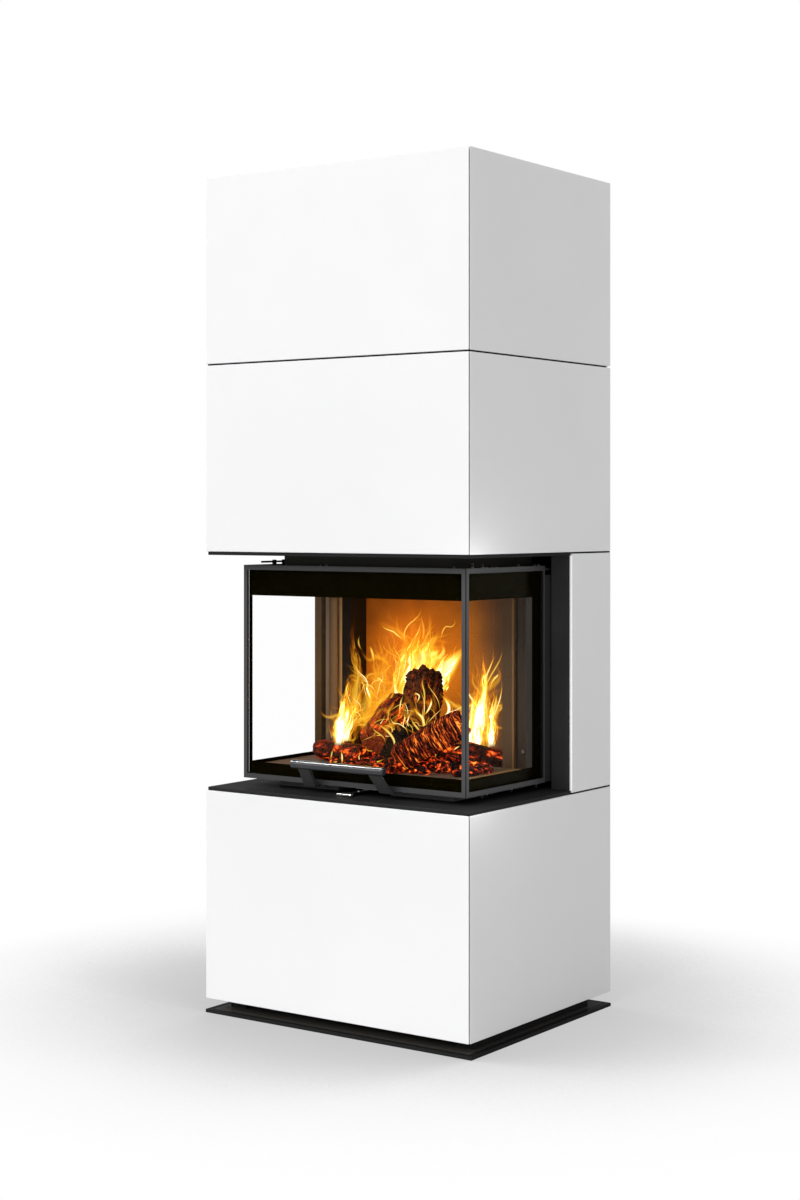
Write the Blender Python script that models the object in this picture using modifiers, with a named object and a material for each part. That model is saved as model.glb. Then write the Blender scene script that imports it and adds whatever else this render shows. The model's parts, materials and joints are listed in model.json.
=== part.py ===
"""Free-standing fireplace with a lifting three-sided glass door, white cladding and a raised firebox.

Metres, +Z up, front towards -Y. The origin is on the floor, under the middle of the base plate.
Run it with: blender --background --python part.py
"""

import math

import bmesh
import bpy
from mathutils import Matrix, Vector

# Clearances and finish
gap = 0.0003
overrun = 0.010
small_bevel = 0.0008
round_sides = 28

# Casing
casing_width = 0.750
casing_depth = 0.616
panel_thick = 0.008
panel_bevel = 0.0010
panel_joint = 0.004
corner_joint = 0.003
base_thick = 0.008
base_overhang = 0.003
base_setback = 0.003
toe_gap = 0.027
lower_height = 0.493
ledge_thick = 0.008
ledge_inset = 0.004
opening_height = 0.550
row_height = 0.4405
cover_gap = 0.029
cover_thick = 0.002

# Stand under the firebox
stand_foot_width = 0.045
stand_side_inset = 0.030
stand_end_inset = 0.058
stand_wall = 0.006
air_hole_width = 0.180
air_hole_depth = 0.050
air_hole_back = 0.060

# Door
door_side_margin = 0.0565
door_setback = 0.0715
door_back_margin = 0.210
door_clearance = 0.019
door_top_clearance = 0.024
door_wall = 0.014
door_lip = 0.005
rail_height = 0.0115
front_stile = 0.012
rear_stile = 0.007
corner_groove = 0.002
glass_thick = 0.004
glass_overlap = 0.002
lift_clearance = 0.021
door_slot_clearance = 0.0055
seal_width = 0.008

# Guide fins of the door and their rails
fin_thick = 0.006
fin_length = 0.070
fin_rise = 0.045
fin_drop = 0.022
fin_engagement = 0.013
fin_clearance = 0.0005
fin_end_clearance = 0.002
guide_width = 0.016
guide_depth = 0.020
guide_top_clearance = 0.010

# Handle
handle_length = 0.264
handle_radius = 0.010
handle_bevel = 0.0025
handle_reach = 0.0492
handle_rise = 0.050
bracket_width = 0.032
bracket_top_span = 0.200
bracket_splay = 0.008
bracket_thick = 0.0045
bracket_top_thick = 0.007
bracket_foot_reach = 0.021
bracket_foot_inset = 0.0085

# Firebox
neck_front = 0.0545
neck_wall = 0.003
tray_inset = 0.002
tray_thick = 0.006
tray_level = 0.030
floor_thick = 0.020
floor_margin = 0.003
box_back = 0.066
back_sheet = 0.004
brick_thick = 0.030
back_side_width = 0.0926
side_brick_thick = 0.026
post_setback = 0.035
post_flange = 0.006
post_groove_width = 0.011
post_groove_depth = 0.010
post_panel_width = 0.022
post_strip_width = 0.0145
post_step = 0.003
post_return = 0.037
post_body_thick = 0.016
post_sheet = 0.003
seal_frame_thick = 0.006
seal_frame_drop = 0.012
seal_frame_lap = 0.009
baffle_thick = 0.025
baffle_depth = 0.205
baffle_headroom = 0.0244

# Smoke dome and flue
hood_wall = 0.003
hood_inset = 0.007
hood_straight = 0.184
hood_taper = 0.160
hood_top_width = 0.200
collar_flange = 0.210
collar_flange_thick = 0.004
collar_radius = 0.0875
collar_wall = 0.003
collar_height = 0.066
pipe_wall = 0.002
cover_plate_thick = 0.004
cover_plate_recess = 0.006
vent_length = 0.170
vent_width = 0.030
vent_side_inset = 0.165
vent_end_inset = 0.070

# Lift mechanism
post_width = 0.026
post_depth = 0.036
post_slot_margin = 0.002
cable_setback = 0.042
pulley_flange = 0.004
pulley_width = 0.016
pulley_drop = 0.083
axle_radius = 0.006
axle_clearance = 0.0003
axle_end = 0.003
arm_thick = 0.008
arm_height = 0.024
arm_overhang = 0.030
cable_radius = 0.0015
cable_arc_steps = 10
weight_side_clearance = 0.0035
weight_front_clearance = 0.015
weight_depth = 0.050
weight_height = 0.385
weight_rest_drop = 0.090

# Air control
lever_tab_width = 0.043
lever_tab_depth = 0.008
lever_reach = 0.0395
lever_neck_start = 0.027
lever_arm_width = 0.016
lever_thick = 0.004
lever_rise = 0.0027
lever_tail = 0.142
slider_width = 0.064
slider_depth = 0.060
slider_thick = 0.003
slider_lap = 0.010
slider_travel = 0.040
slider_clearance = 0.0005
pocket_clearance = 0.003

# Firewood: length, thickness and place across and along the hearth, as shares of half the hearth's
# width and of its depth, then turn and lean in degrees
log_sides = 7
log_bevel = 0.004
log_shares = (
    ("log_left", 0.85, 0.25, -0.64, 0.39, 70.0, 0.0),
    ("log_center", 1.01, 0.40, 0.20, 0.60, 45.0, 74.0),
    ("log_right", 0.82, 0.38, 0.63, 0.29, 100.0, 28.0),
)

# Heights, from the floor up
z_base_top = base_thick
z_lower = z_base_top + toe_gap
z_lower_top = z_lower + lower_height
z_shelf = z_lower_top + gap
z_shelf_top = z_shelf + ledge_thick
z_under = z_shelf_top + opening_height
z_under_top = z_under + ledge_thick
z_row_1 = z_under_top + gap
z_row_1_top = z_row_1 + row_height
z_row_2 = z_row_1_top + panel_joint
z_top = z_row_2 + row_height
z_door = z_shelf_top + door_clearance
z_door_top = z_under - door_top_clearance
z_tray_top = z_shelf_top + tray_level
z_floor = z_tray_top + gap + floor_thick
z_seal_frame = z_door_top - seal_frame_drop
z_baffle = z_seal_frame - baffle_headroom - baffle_thick
z_brick_top = z_baffle - gap
z_hood = z_seal_frame + seal_frame_thick + gap
z_collar = z_hood + hood_straight + hood_taper + gap
z_cover_plate = z_top - cover_plate_recess - cover_plate_thick
z_post_top = z_cover_plate - gap
z_pulley = z_post_top - pulley_drop
z_fin = z_door + fin_rise
z_fin_top = z_door_top - fin_drop
z_handle = z_door + handle_rise
door_lift = z_under - lift_clearance - (z_handle + handle_radius)

# Plan positions
half_width = casing_width / 2
half_depth = casing_depth / 2
inner_half_width = half_width - panel_thick
inner_half_depth = half_depth - panel_thick
half_door = half_width - door_side_margin
y_door = -half_depth + door_setback
y_door_back = half_depth - door_back_margin
y_cover = y_door_back + cover_gap
door_inner = half_door - door_wall
y_door_inner = y_door + door_wall
box_half = door_inner - tray_inset
y_box_front = y_door_inner + tray_inset
y_box_back = y_door_back + box_back
neck_half = box_half - post_flange - post_groove_width - post_panel_width - post_strip_width
y_neck = y_door + neck_front
y_post = y_door_back - post_setback
y_brick = y_box_back - back_sheet - gap - brick_thick
side_brick_face = neck_half - gap - side_brick_thick
flue_y = (y_neck + y_box_back) / 2
x_fin = half_door - door_wall / 2
y_fin_end = y_door_back + fin_length
y_guide = y_fin_end - fin_engagement
x_rear_post = inner_half_width - gap - post_width
y_rear_post = inner_half_depth - gap - post_depth
slot_half_width = x_rear_post - post_slot_margin
weight_width = (slot_half_width - weight_side_clearance - x_fin) * 2
y_cable_front = y_door_back + cable_setback
y_cable_rear = y_guide + guide_depth + weight_front_clearance + weight_depth / 2
pulley_radius = (y_cable_rear - y_cable_front) / 2
pulley_y = y_cable_front + pulley_radius
y_lever = y_door_inner - lever_reach
y_lever_tail = y_lever + lever_tail
y_slider_back = y_lever_tail + slider_lap

collections = {}
materials = {}


def clear_scene():
    for old in list(bpy.data.objects):
        bpy.data.objects.remove(old, do_unlink=True)


def make_collections():
    for key, title in (("parts", "fireplace"), ("cutters", "fireplace_cutters")):
        made = bpy.data.collections.new(title)
        bpy.context.scene.collection.children.link(made)
        collections[key] = made


def make_material(name, colour, roughness, metallic=0.0, alpha=1.0):
    made = bpy.data.materials.new(name)
    made.use_nodes = True
    shader = made.node_tree.nodes["Principled BSDF"]
    shader.inputs["Base Color"].default_value = (*colour, 1.0)
    shader.inputs["Roughness"].default_value = roughness
    shader.inputs["Metallic"].default_value = metallic
    shader.inputs["Alpha"].default_value = alpha
    materials[name] = made


def make_materials():
    make_material("white_panel", (0.86, 0.86, 0.86), 0.45)
    make_material("black_steel", (0.022, 0.022, 0.022), 0.45, 0.4)
    make_material("door_steel", (0.075, 0.075, 0.080), 0.40, 0.6)
    make_material("dark_glass", (0.50, 0.52, 0.52), 0.05, 0.0, 0.35)
    make_material("chamotte", (0.45, 0.27, 0.13), 0.90)
    make_material("raw_steel", (0.35, 0.35, 0.36), 0.40, 0.9)
    make_material("cast_weight", (0.10, 0.10, 0.11), 0.65, 0.7)
    make_material("seal_rope", (0.20, 0.19, 0.18), 0.95)
    make_material("polished_steel", (0.75, 0.75, 0.76), 0.15, 1.0)
    make_material("firewood", (0.20, 0.09, 0.04), 0.90)


def add_object(name, mesh, material=None, location=(0.0, 0.0, 0.0)):
    """A part when it has a material, and otherwise a cutter or a shape to join on."""
    made = bpy.data.objects.new(name, mesh)
    made.location = location
    if material is None:
        made.hide_render = True
        made.display_type = "WIRE"
        collections["cutters"].objects.link(made)
    else:
        mesh.materials.clear()
        mesh.materials.append(materials[material])
        collections["parts"].objects.link(made)
    return made


def bevel(target, width, segments=1):
    made = target.modifiers.new("edges", "BEVEL")
    made.width = width
    made.segments = segments
    made.limit_method = "ANGLE"
    return made


def block(name, low, high, material=None):
    """A box between two corners."""
    low, high = Vector(low), Vector(high)
    shape = bmesh.new()
    bmesh.ops.create_cube(shape, size=1.0, matrix=Matrix.Diagonal((*(high - low), 1.0)))
    mesh = bpy.data.meshes.new(name)
    shape.to_mesh(mesh)
    shape.free()
    return add_object(name, mesh, material, (low + high) / 2)


def cylinder(name, radius, length, centre, axis="Z", material=None, sides=round_sides):
    turns = {"X": (math.pi / 2, "Y"), "Y": (math.pi / 2, "X"), "Z": (0.0, "Z")}
    shape = bmesh.new()
    bmesh.ops.create_cone(
        shape, cap_ends=True, segments=sides, radius1=radius, radius2=radius, depth=length,
        matrix=Matrix.Rotation(turns[axis][0], 4, turns[axis][1]),
    )
    mesh = bpy.data.meshes.new(name)
    shape.to_mesh(mesh)
    shape.free()
    mesh.shade_smooth()
    mesh.set_sharp_from_angle(angle=math.radians(30.0))
    return add_object(name, mesh, material, centre)


def plan_plate(name, points, low, high, material=None):
    """A flat outline in plan, as an extruded 2D curve made a mesh."""
    curve = bpy.data.curves.new(name + "_outline", "CURVE")
    curve.dimensions = "2D"
    curve.fill_mode = "BOTH"
    curve.extrude = (high - low) / 2
    line = curve.splines.new("POLY")
    line.points.add(len(points) - 1)
    for spot, (x, y) in zip(line.points, points):
        spot.co = (x, y, 0.0, 1.0)
    line.use_cyclic_u = True
    drawn = bpy.data.objects.new(name + "_outline", curve)
    collections["cutters"].objects.link(drawn)
    bpy.context.view_layer.update()
    graph = bpy.context.evaluated_depsgraph_get()
    mesh = bpy.data.meshes.new_from_object(drawn.evaluated_get(graph))
    bpy.data.objects.remove(drawn)
    shape = bmesh.new()
    shape.from_mesh(mesh)
    bmesh.ops.remove_doubles(shape, verts=shape.verts, dist=gap / 10)
    bmesh.ops.recalc_face_normals(shape, faces=shape.faces)
    shape.to_mesh(mesh)
    shape.free()
    mesh.name = name
    return add_object(name, mesh, material, (0.0, 0.0, (low + high) / 2))


def turned(name, profile, centre, axis="Z", material=None, sides=round_sides):
    """A ring from a closed profile of (radius, height) points, listed down its outer side first."""
    shape = bmesh.new()
    spots = [shape.verts.new((radius, 0.0, height)) for radius, height in profile]
    for first, second in zip(spots, spots[1:] + spots[:1]):
        shape.edges.new((first, second))
    mesh = bpy.data.meshes.new(name)
    shape.to_mesh(mesh)
    shape.free()
    made = add_object(name, mesh, material, centre)
    if axis == "X":
        made.rotation_euler = (0.0, math.pi / 2, 0.0)
    screw = made.modifiers.new("turn", "SCREW")
    screw.steps = sides
    screw.render_steps = sides
    screw.use_merge_vertices = True
    screw.merge_threshold = gap / 10
    return made


def combine(target, tool, operation):
    made = target.modifiers.new(operation.lower(), "BOOLEAN")
    made.operation = operation
    made.object = tool
    return target


def cut(target, tool):
    return combine(target, tool, "DIFFERENCE")


def join(target, tool):
    return combine(target, tool, "UNION")


def axis_empty(name, place):
    made = bpy.data.objects.new(name, None)
    made.location = place
    collections["parts"].objects.link(made)
    return made


def ride_on(empty, *pieces):
    for piece in pieces:
        piece.parent = empty
        piece.location = piece.location - empty.location


def mirrored(side, low, high):
    """The corners of a box given for the right side, moved to the side whose sign is given."""
    if side > 0:
        return low, high
    return (-high[0], low[1], low[2]), (-low[0], high[1], high[2])


def side_points(side, points):
    return [(side * x, y) for x, y in points]


SIDES = (("left", -1), ("right", 1))


def make_base_plate():
    x = half_width + base_overhang
    y = half_depth - base_setback
    bevel(block("base_plate", (-x, -y, 0.0), (x, y, base_thick), "black_steel"), small_bevel)


def make_stands():
    outer = half_width - stand_side_inset
    inner = outer - stand_foot_width
    y = half_depth - stand_end_inset
    middle = (outer + inner) / 2
    for word, side in SIDES:
        low, high = mirrored(side, (inner, -y, z_base_top + gap), (outer, y, z_lower - gap))
        stand = block("stand_" + word, low, high, "black_steel")
        low, high = mirrored(
            side, (middle - stand_wall / 2, -y, z_base_top + toe_gap / 2),
            (middle + stand_wall / 2, y, z_shelf - gap),
        )
        join(stand, block("stand_wall_" + word, low, high))


def front_panel(name, low, high):
    edge = corner_joint / 2
    x = half_width - edge
    inner = inner_half_width - edge
    points = ((-x, -half_depth), (x, -half_depth), (inner, -inner_half_depth), (-inner, -inner_half_depth))
    bevel(plan_plate(name, points, low, high, "white_panel"), panel_bevel)


def side_panel(name, side, low, high):
    edge = corner_joint / 2
    points = side_points(side, (
        (half_width, -half_depth + edge), (half_width, half_depth),
        (inner_half_width, half_depth), (inner_half_width, -inner_half_depth + edge),
    ))
    bevel(plan_plate(name, points, low, high, "white_panel"), panel_bevel)


def back_panel(name, low, high):
    x = inner_half_width - gap
    made = block(name, (-x, inner_half_depth, low), (x, half_depth, high), "white_panel")
    bevel(made, panel_bevel)


def make_panels():
    rows = (
        ("lower", z_lower, z_lower_top),
        ("middle", z_row_1, z_row_1_top),
        ("upper", z_row_2, z_top),
    )
    for word, low, high in rows:
        front_panel(word + "_front_panel", low, high)
        for hand, side in SIDES:
            side_panel(word + "_" + hand + "_panel", side, low, high)
    back_panel("lower_back_panel", z_lower, z_lower_top)
    back_panel("upper_back_panel", z_shelf_top + gap, z_top)


def make_rear_sides():
    low_z = z_lower_top + panel_joint
    high_z = z_row_1 - panel_joint
    for word, side in SIDES:
        low, high = mirrored(
            side, (inner_half_width, y_cover, low_z), (half_width, half_depth, high_z)
        )
        bevel(block("rear_side_" + word, low, high, "white_panel"), panel_bevel)
        low, high = mirrored(
            side, (half_door, y_cover, z_shelf_top + gap),
            (inner_half_width - gap, y_cover + cover_thick, z_under - gap),
        )
        block("black_cover_" + word, low, high, "black_steel")


def ledge_outline(back):
    """The plan of a ledge plate: wide where it shows, and narrower between the rear side panels."""
    wide = half_width - ledge_inset
    narrow = inner_half_width - gap
    notch = y_cover - gap
    return (
        (-wide, -half_depth + ledge_inset), (wide, -half_depth + ledge_inset), (wide, notch),
        (narrow, notch), (narrow, back), (-narrow, back), (-narrow, notch), (-wide, notch),
    )


def make_shelf_plate():
    shelf = plan_plate(
        "shelf_plate", ledge_outline(inner_half_depth - gap), z_shelf, z_shelf_top, "black_steel"
    )
    hole_back = inner_half_depth - air_hole_back
    hole = block(
        "shelf_air_hole",
        (-air_hole_width / 2, hole_back - air_hole_depth, z_shelf - overrun),
        (air_hole_width / 2, hole_back, z_shelf_top + overrun),
    )
    bevel(cut(shelf, hole), small_bevel)


def door_slot(name, low, high):
    """The space that the door, its fins and the weights move through, open to the rear."""
    return block(
        name,
        (-slot_half_width, y_door - door_slot_clearance, low - overrun),
        (slot_half_width, half_depth, high + overrun),
    )


def make_underplate():
    plate = plan_plate(
        "underplate", ledge_outline(y_rear_post - gap), z_under, z_under_top, "black_steel"
    )
    bevel(cut(plate, door_slot("underplate_slot", z_under, z_under_top)), small_bevel)


def make_joint_frame():
    """The flat frame in the joint between the two upper rows, which carries the top row."""
    low = z_row_1_top + gap
    high = z_row_2 - gap
    x = half_width - ledge_inset
    frame = block(
        "joint_frame", (-x, -half_depth + ledge_inset, low), (x, y_rear_post - gap, high),
        "black_steel",
    )
    cut(frame, door_slot("joint_frame_slot", low, high))


def make_top_cover():
    x = inner_half_width - gap
    y = inner_half_depth - gap
    cover = block(
        "top_cover", (-x, -y, z_cover_plate), (x, y, z_cover_plate + cover_plate_thick),
        "black_steel",
    )
    middle = z_cover_plate + cover_plate_thick / 2
    pipe_outer = collar_radius + gap + pipe_wall
    cut(cover, cylinder(
        "flue_hole", pipe_outer + gap, cover_plate_thick + overrun, (0.0, flue_y, middle)
    ))
    for y_side in (-1, 1):
        for x_side in (-1, 1):
            x = x_side * (inner_half_width - vent_side_inset)
            y = y_side * (inner_half_depth - vent_end_inset)
            cut(cover, block(
                "vent_cutter",
                (x - vent_length / 2, y - vent_width / 2, middle - overrun),
                (x + vent_length / 2, y + vent_width / 2, middle + overrun),
            ))


def window_cutters(word, low, high, rebate_low, rebate_high):
    return block(word + "_window", low, high), block(word + "_rebate", rebate_low, rebate_high)


def make_door_frame():
    frame = block(
        "door_frame", (-half_door, y_door, z_door), (half_door, y_door_back, z_door_top),
        "door_steel",
    )
    cut(frame, block(
        "door_hollow", (-door_inner, y_door_inner, z_door - overrun),
        (door_inner, y_door_back + overrun, z_door_top + overrun),
    ))
    seat = glass_overlap + gap
    low_z = z_door + rail_height
    high_z = z_door_top - rail_height
    x = half_door - front_stile
    inside = y_door_inner + overrun / 2
    tools = list(window_cutters(
        "front",
        (-x, y_door - overrun, low_z), (x, inside, high_z),
        (-x - seat, y_door + door_lip, low_z - seat), (x + seat, inside, high_z + seat),
    ))
    front = y_door + front_stile
    back = y_door_back - rear_stile
    for word, side in SIDES:
        inner = door_inner - overrun / 2
        window = mirrored(side, (inner, front, low_z), (half_door + overrun, back, high_z))
        rebate = mirrored(
            side, (inner, front - seat, low_z - seat),
            (half_door - door_lip, back + seat, high_z + seat),
        )
        tools += window_cutters(word, *window, *rebate)
        groove = mirrored(
            side, (half_door - corner_groove, y_door - overrun, z_door - overrun),
            (half_door + overrun, y_door + corner_groove, z_door_top + overrun),
        )
        tools.append(block("corner_groove_" + word, *groove))
    for tool in tools:
        cut(frame, tool)
    for word, side in SIDES:
        low, high = mirrored(
            side, (x_fin - fin_thick / 2, y_door_back - rear_stile / 2, z_fin),
            (x_fin + fin_thick / 2, y_fin_end, z_fin_top),
        )
        join(frame, block("guide_fin_" + word, low, high))
    return frame


def make_glass():
    low_z = z_door + rail_height - glass_overlap
    high_z = z_door_top - rail_height + glass_overlap
    x = half_door - front_stile + glass_overlap
    y = y_door + door_lip + gap
    panes = [block("front_glass", (-x, y, low_z), (x, y + glass_thick, high_z), "dark_glass")]
    outer = half_door - door_lip - gap
    for word, side in SIDES:
        low, high = mirrored(
            side, (outer - glass_thick, y_door + front_stile - glass_overlap, low_z),
            (outer, y_door_back - rear_stile + glass_overlap, high_z),
        )
        panes.append(block(word + "_glass", low, high, "dark_glass"))
    return panes


def make_door_seal():
    outer = door_inner - gap
    inner = outer - seal_width
    front = y_door_inner + gap
    back = y_door_back - rear_stile
    points = (
        (-outer, front), (outer, front), (outer, back), (inner, back),
        (inner, front + seal_width), (-inner, front + seal_width), (-inner, back), (-outer, back),
    )
    return plan_plate("door_seal", points, z_hood, z_door_top, "seal_rope")


def make_handle():
    y = y_door - handle_reach
    bar = cylinder("handle_bar", handle_radius, handle_length, (0.0, y, z_handle), "X", "door_steel")
    bevel(bar, handle_bevel)
    return [bar] + [make_bracket(word, side, y) for word, side in SIDES]


def make_bracket(word, side, bar_y):
    """A flat strip from the bar down and back to a foot under the bottom rail, splayed outwards."""
    foot_top = z_door - gap
    foot = foot_top - bracket_thick
    front = y_door + bracket_foot_inset - bracket_foot_reach
    back = y_door + bracket_foot_inset
    axis = Vector((bar_y, z_handle))
    run = (Vector((front, foot)) - axis).normalized()
    across = Vector((-run.y, run.x)) * (bracket_top_thick / 2)
    root = axis + run * (handle_radius + gap)
    top = root.y
    profile = (
        root - across, root + across, (front + bracket_top_thick, foot_top),
        (back, foot_top), (back, foot), (front, foot),
    )
    middle = side * (bracket_top_span / 2)
    strip = plan_plate("handle_bracket_" + word, profile, -bracket_width / 2, bracket_width / 2,
                       "door_steel")
    lean = side * bracket_splay / (top - foot)
    upright = Matrix(((0, 0, 1, 0), (1, 0, 0, 0), (0, 1, 0, 0), (0, 0, 0, 1)))
    shear = Matrix(((1, 0, -lean, middle + lean * top), (0, 1, 0, 0), (0, 0, 1, 0), (0, 0, 0, 1)))
    strip.data.transform(shear @ upright)
    return strip


def make_door():
    lift = axis_empty("door_lift_axis", (0.0, y_door_back, z_door))
    ride_on(lift, make_door_frame(), *make_glass(), make_door_seal(), *make_handle())


def make_guides():
    top = z_fin_top + door_lift + guide_top_clearance
    for word, side in SIDES:
        low, high = mirrored(
            side, (x_fin - guide_width / 2, y_guide, z_shelf_top + gap),
            (x_fin + guide_width / 2, y_guide + guide_depth, top),
        )
        rail = block("guide_rail_" + word, low, high, "black_steel")
        half_slot = fin_thick / 2 + fin_clearance
        low, high = mirrored(
            side, (x_fin - half_slot, y_guide - overrun, z_shelf_top - overrun),
            (x_fin + half_slot, y_fin_end + fin_end_clearance, top + overrun),
        )
        cut(rail, block("guide_slot_" + word, low, high))


def make_firebox_base():
    """The neck and the tray in one weldment: hollow at both sides, with the air pocket between."""
    base = block(
        "firebox_base", (-neck_half, y_neck, z_shelf_top + gap), (neck_half, y_box_back, z_tray_top),
        "black_steel",
    )
    join(base, block(
        "tray", (-box_half, y_box_front, z_tray_top - tray_thick), (box_half, y_box_back, z_tray_top)
    ))
    x = slider_width / 2 + slider_travel + pocket_clearance
    roof = z_shelf_top + lever_rise + lever_thick + gap + slider_thick + slider_clearance
    cut(base, block(
        "air_pocket", (-x, y_neck - overrun, z_shelf_top - overrun),
        (x, y_slider_back + pocket_clearance, roof),
    ))
    for word, side in SIDES:
        low, high = mirrored(
            side, (x + neck_wall, y_neck + neck_wall, z_shelf_top - overrun),
            (neck_half - neck_wall, y_box_back - neck_wall, z_tray_top - tray_thick),
        )
        cut(base, block("neck_hollow_" + word, low, high))


def make_hearth():
    x = box_half - floor_margin
    block(
        "hearth_floor", (-x, y_box_front + floor_margin, z_tray_top + gap), (x, y_post - gap, z_floor),
        "chamotte",
    )


def make_firebox_back():
    x = neck_half - gap
    block(
        "firebox_back", (-x, y_box_back - back_sheet, z_tray_top + gap),
        (x, y_box_back, z_seal_frame - gap), "black_steel",
    )


def make_bricks():
    back = y_brick + brick_thick
    outer = neck_half - gap
    half_center = outer - back_side_width - gap
    low_z = z_tray_top + gap
    block(
        "back_brick_center", (-half_center, y_brick, low_z), (half_center, back, z_brick_top),
        "chamotte",
    )
    for word, side in SIDES:
        low, high = mirrored(
            side, (half_center + gap, y_brick, low_z), (outer, back, z_brick_top)
        )
        block("back_brick_" + word, low, high, "chamotte")
        low, high = mirrored(
            side, (side_brick_face, y_post, low_z), (outer, y_brick - gap, z_brick_top)
        )
        block("side_brick_" + word, low, high, "chamotte")


def make_posts():
    """The folded steel posts beside the side bricks, with a groove, a screwed face and a step."""
    flange = neck_half + post_flange
    panel = flange + post_groove_width
    panel_end = panel + post_panel_width
    sheet = box_half - post_sheet
    groove = y_post + post_groove_depth
    step = y_post + post_step
    back = y_post + post_body_thick
    end = y_post + post_return
    points = (
        (neck_half, y_post), (flange, y_post), (flange, groove), (panel, groove), (panel, y_post),
        (panel_end, y_post), (panel_end + post_step, step), (box_half, step), (box_half, end),
        (sheet, end), (sheet, back), (neck_half + post_sheet, back),
        (neck_half + post_sheet, y_box_back), (neck_half, y_box_back),
    )
    for word, side in SIDES:
        plan_plate(
            "firebox_post_" + word, side_points(side, points), z_tray_top + gap,
            z_seal_frame - gap, "black_steel",
        )


def make_seal_frame():
    frame = block(
        "seal_frame", (-box_half, y_box_front, z_seal_frame),
        (box_half, y_box_back, z_seal_frame + seal_frame_thick), "black_steel",
    )
    x = neck_half - seal_frame_lap
    cut(frame, block(
        "seal_frame_hole", (-x, y_neck + seal_frame_lap, z_seal_frame - overrun),
        (x, y_box_back - seal_frame_lap, z_seal_frame + seal_frame_thick + overrun),
    ))


def make_baffle():
    x = neck_half - gap
    back = y_brick + brick_thick
    top = z_baffle + baffle_thick
    block("baffle", (-x, back - baffle_depth, z_baffle), (x, back, top), "chamotte")


def make_hood():
    """The smoke dome: an open box drawn in to a square mouth, given its sheet thickness."""
    width = (neck_half - hood_inset) * 2
    depth = y_box_back - y_neck - hood_inset
    middle = y_box_back - depth / 2
    shape = bmesh.new()
    bmesh.ops.create_cube(shape, size=1.0, matrix=Matrix.Diagonal((width, depth, hood_straight, 1.0)))
    shape.faces.ensure_lookup_table()
    bottom = min(shape.faces, key=lambda face: face.calc_center_median().z)
    top = max(shape.faces, key=lambda face: face.calc_center_median().z)
    bmesh.ops.delete(shape, geom=[bottom], context="FACES_ONLY")
    raised = bmesh.ops.extrude_face_region(shape, geom=[top])["geom"]
    corners = [item for item in raised if isinstance(item, bmesh.types.BMVert)]
    bmesh.ops.scale(
        shape, verts=corners, vec=(hood_top_width / width, hood_top_width / depth, 1.0)
    )
    bmesh.ops.translate(shape, verts=corners, vec=(0.0, flue_y - middle, hood_taper))
    for face in [item for item in raised if isinstance(item, bmesh.types.BMFace)]:
        bmesh.ops.delete(shape, geom=[face], context="FACES_ONLY")
    if top.is_valid:
        bmesh.ops.delete(shape, geom=[top], context="FACES_ONLY")
    bmesh.ops.recalc_face_normals(shape, faces=shape.faces)
    mesh = bpy.data.meshes.new("hood")
    shape.to_mesh(mesh)
    shape.free()
    hood = add_object("hood", mesh, "black_steel", (0.0, middle, z_hood + hood_straight / 2))
    shell = hood.modifiers.new("sheet", "SOLIDIFY")
    shell.thickness = hood_wall
    shell.offset = -1.0
    shell.use_even_offset = True


def make_flue():
    collar = turned(
        "flue_collar",
        ((collar_radius, collar_height), (collar_radius, 0.0),
         (collar_radius - collar_wall, 0.0), (collar_radius - collar_wall, collar_height)),
        (0.0, flue_y, z_collar), material="black_steel",
    )
    half = collar_flange / 2
    flange = block(
        "collar_flange", (-half, flue_y - half, z_collar),
        (half, flue_y + half, z_collar + collar_flange_thick),
    )
    cut(flange, cylinder(
        "collar_bore", collar_radius - collar_wall / 2, overrun * 2, (0.0, flue_y, z_collar)
    ))
    join(collar, flange)
    inner = collar_radius + gap
    outer = inner + pipe_wall
    low = z_collar + collar_flange_thick + gap
    height = z_top - low
    turned(
        "flue_pipe", ((outer, height), (outer, 0.0), (inner, 0.0), (inner, height)),
        (0.0, flue_y, low), material="raw_steel",
    )


def make_rear_posts():
    """The rear uprights of the inner frame, each with the arm and the axle of its pulley."""
    for word, side in SIDES:
        low, high = mirrored(
            side, (x_rear_post, y_rear_post, z_shelf_top + gap),
            (x_rear_post + post_width, y_rear_post + post_depth, z_post_top),
        )
        post = block("rear_post_" + word, low, high, "black_steel")
        low, high = mirrored(
            side, (x_rear_post + gap, pulley_y - arm_overhang, z_pulley - arm_height / 2),
            (x_rear_post + gap + arm_thick, y_rear_post + post_depth / 2, z_pulley + arm_height / 2),
        )
        join(post, block("pulley_arm_" + word, low, high))
        start = x_fin - pulley_width / 2 - axle_end
        end = x_rear_post + arm_thick / 2
        join(post, cylinder(
            "axle_" + word, axle_radius, end - start,
            (side * (start + end) / 2, pulley_y, z_pulley), "X",
        ))


def make_pulleys():
    rim = pulley_radius + pulley_flange
    bed = pulley_radius - cable_radius - gap
    bore = axle_radius + axle_clearance
    half = pulley_width / 2
    groove = cable_radius + gap
    profile = (
        (rim, half), (rim, half - pulley_flange / 2), (bed, groove), (bed, -groove),
        (rim, pulley_flange / 2 - half), (rim, -half), (bore, -half), (bore, half),
    )
    for word, side in SIDES:
        turned("pulley_" + word, profile, (side * x_fin, pulley_y, z_pulley), "X", "raw_steel")


def cable_route(x):
    """Up from the door's fin, over the pulley and down to the weight."""
    route = [(x, y_cable_front, z_fin_top + gap)]
    for step in range(cable_arc_steps + 1):
        angle = math.pi * (1.0 - step / cable_arc_steps)
        route.append((
            x, pulley_y + pulley_radius * math.cos(angle), z_pulley + pulley_radius * math.sin(angle)
        ))
    route.append((x, y_cable_rear, z_pulley - weight_rest_drop + gap))
    return route


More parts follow.
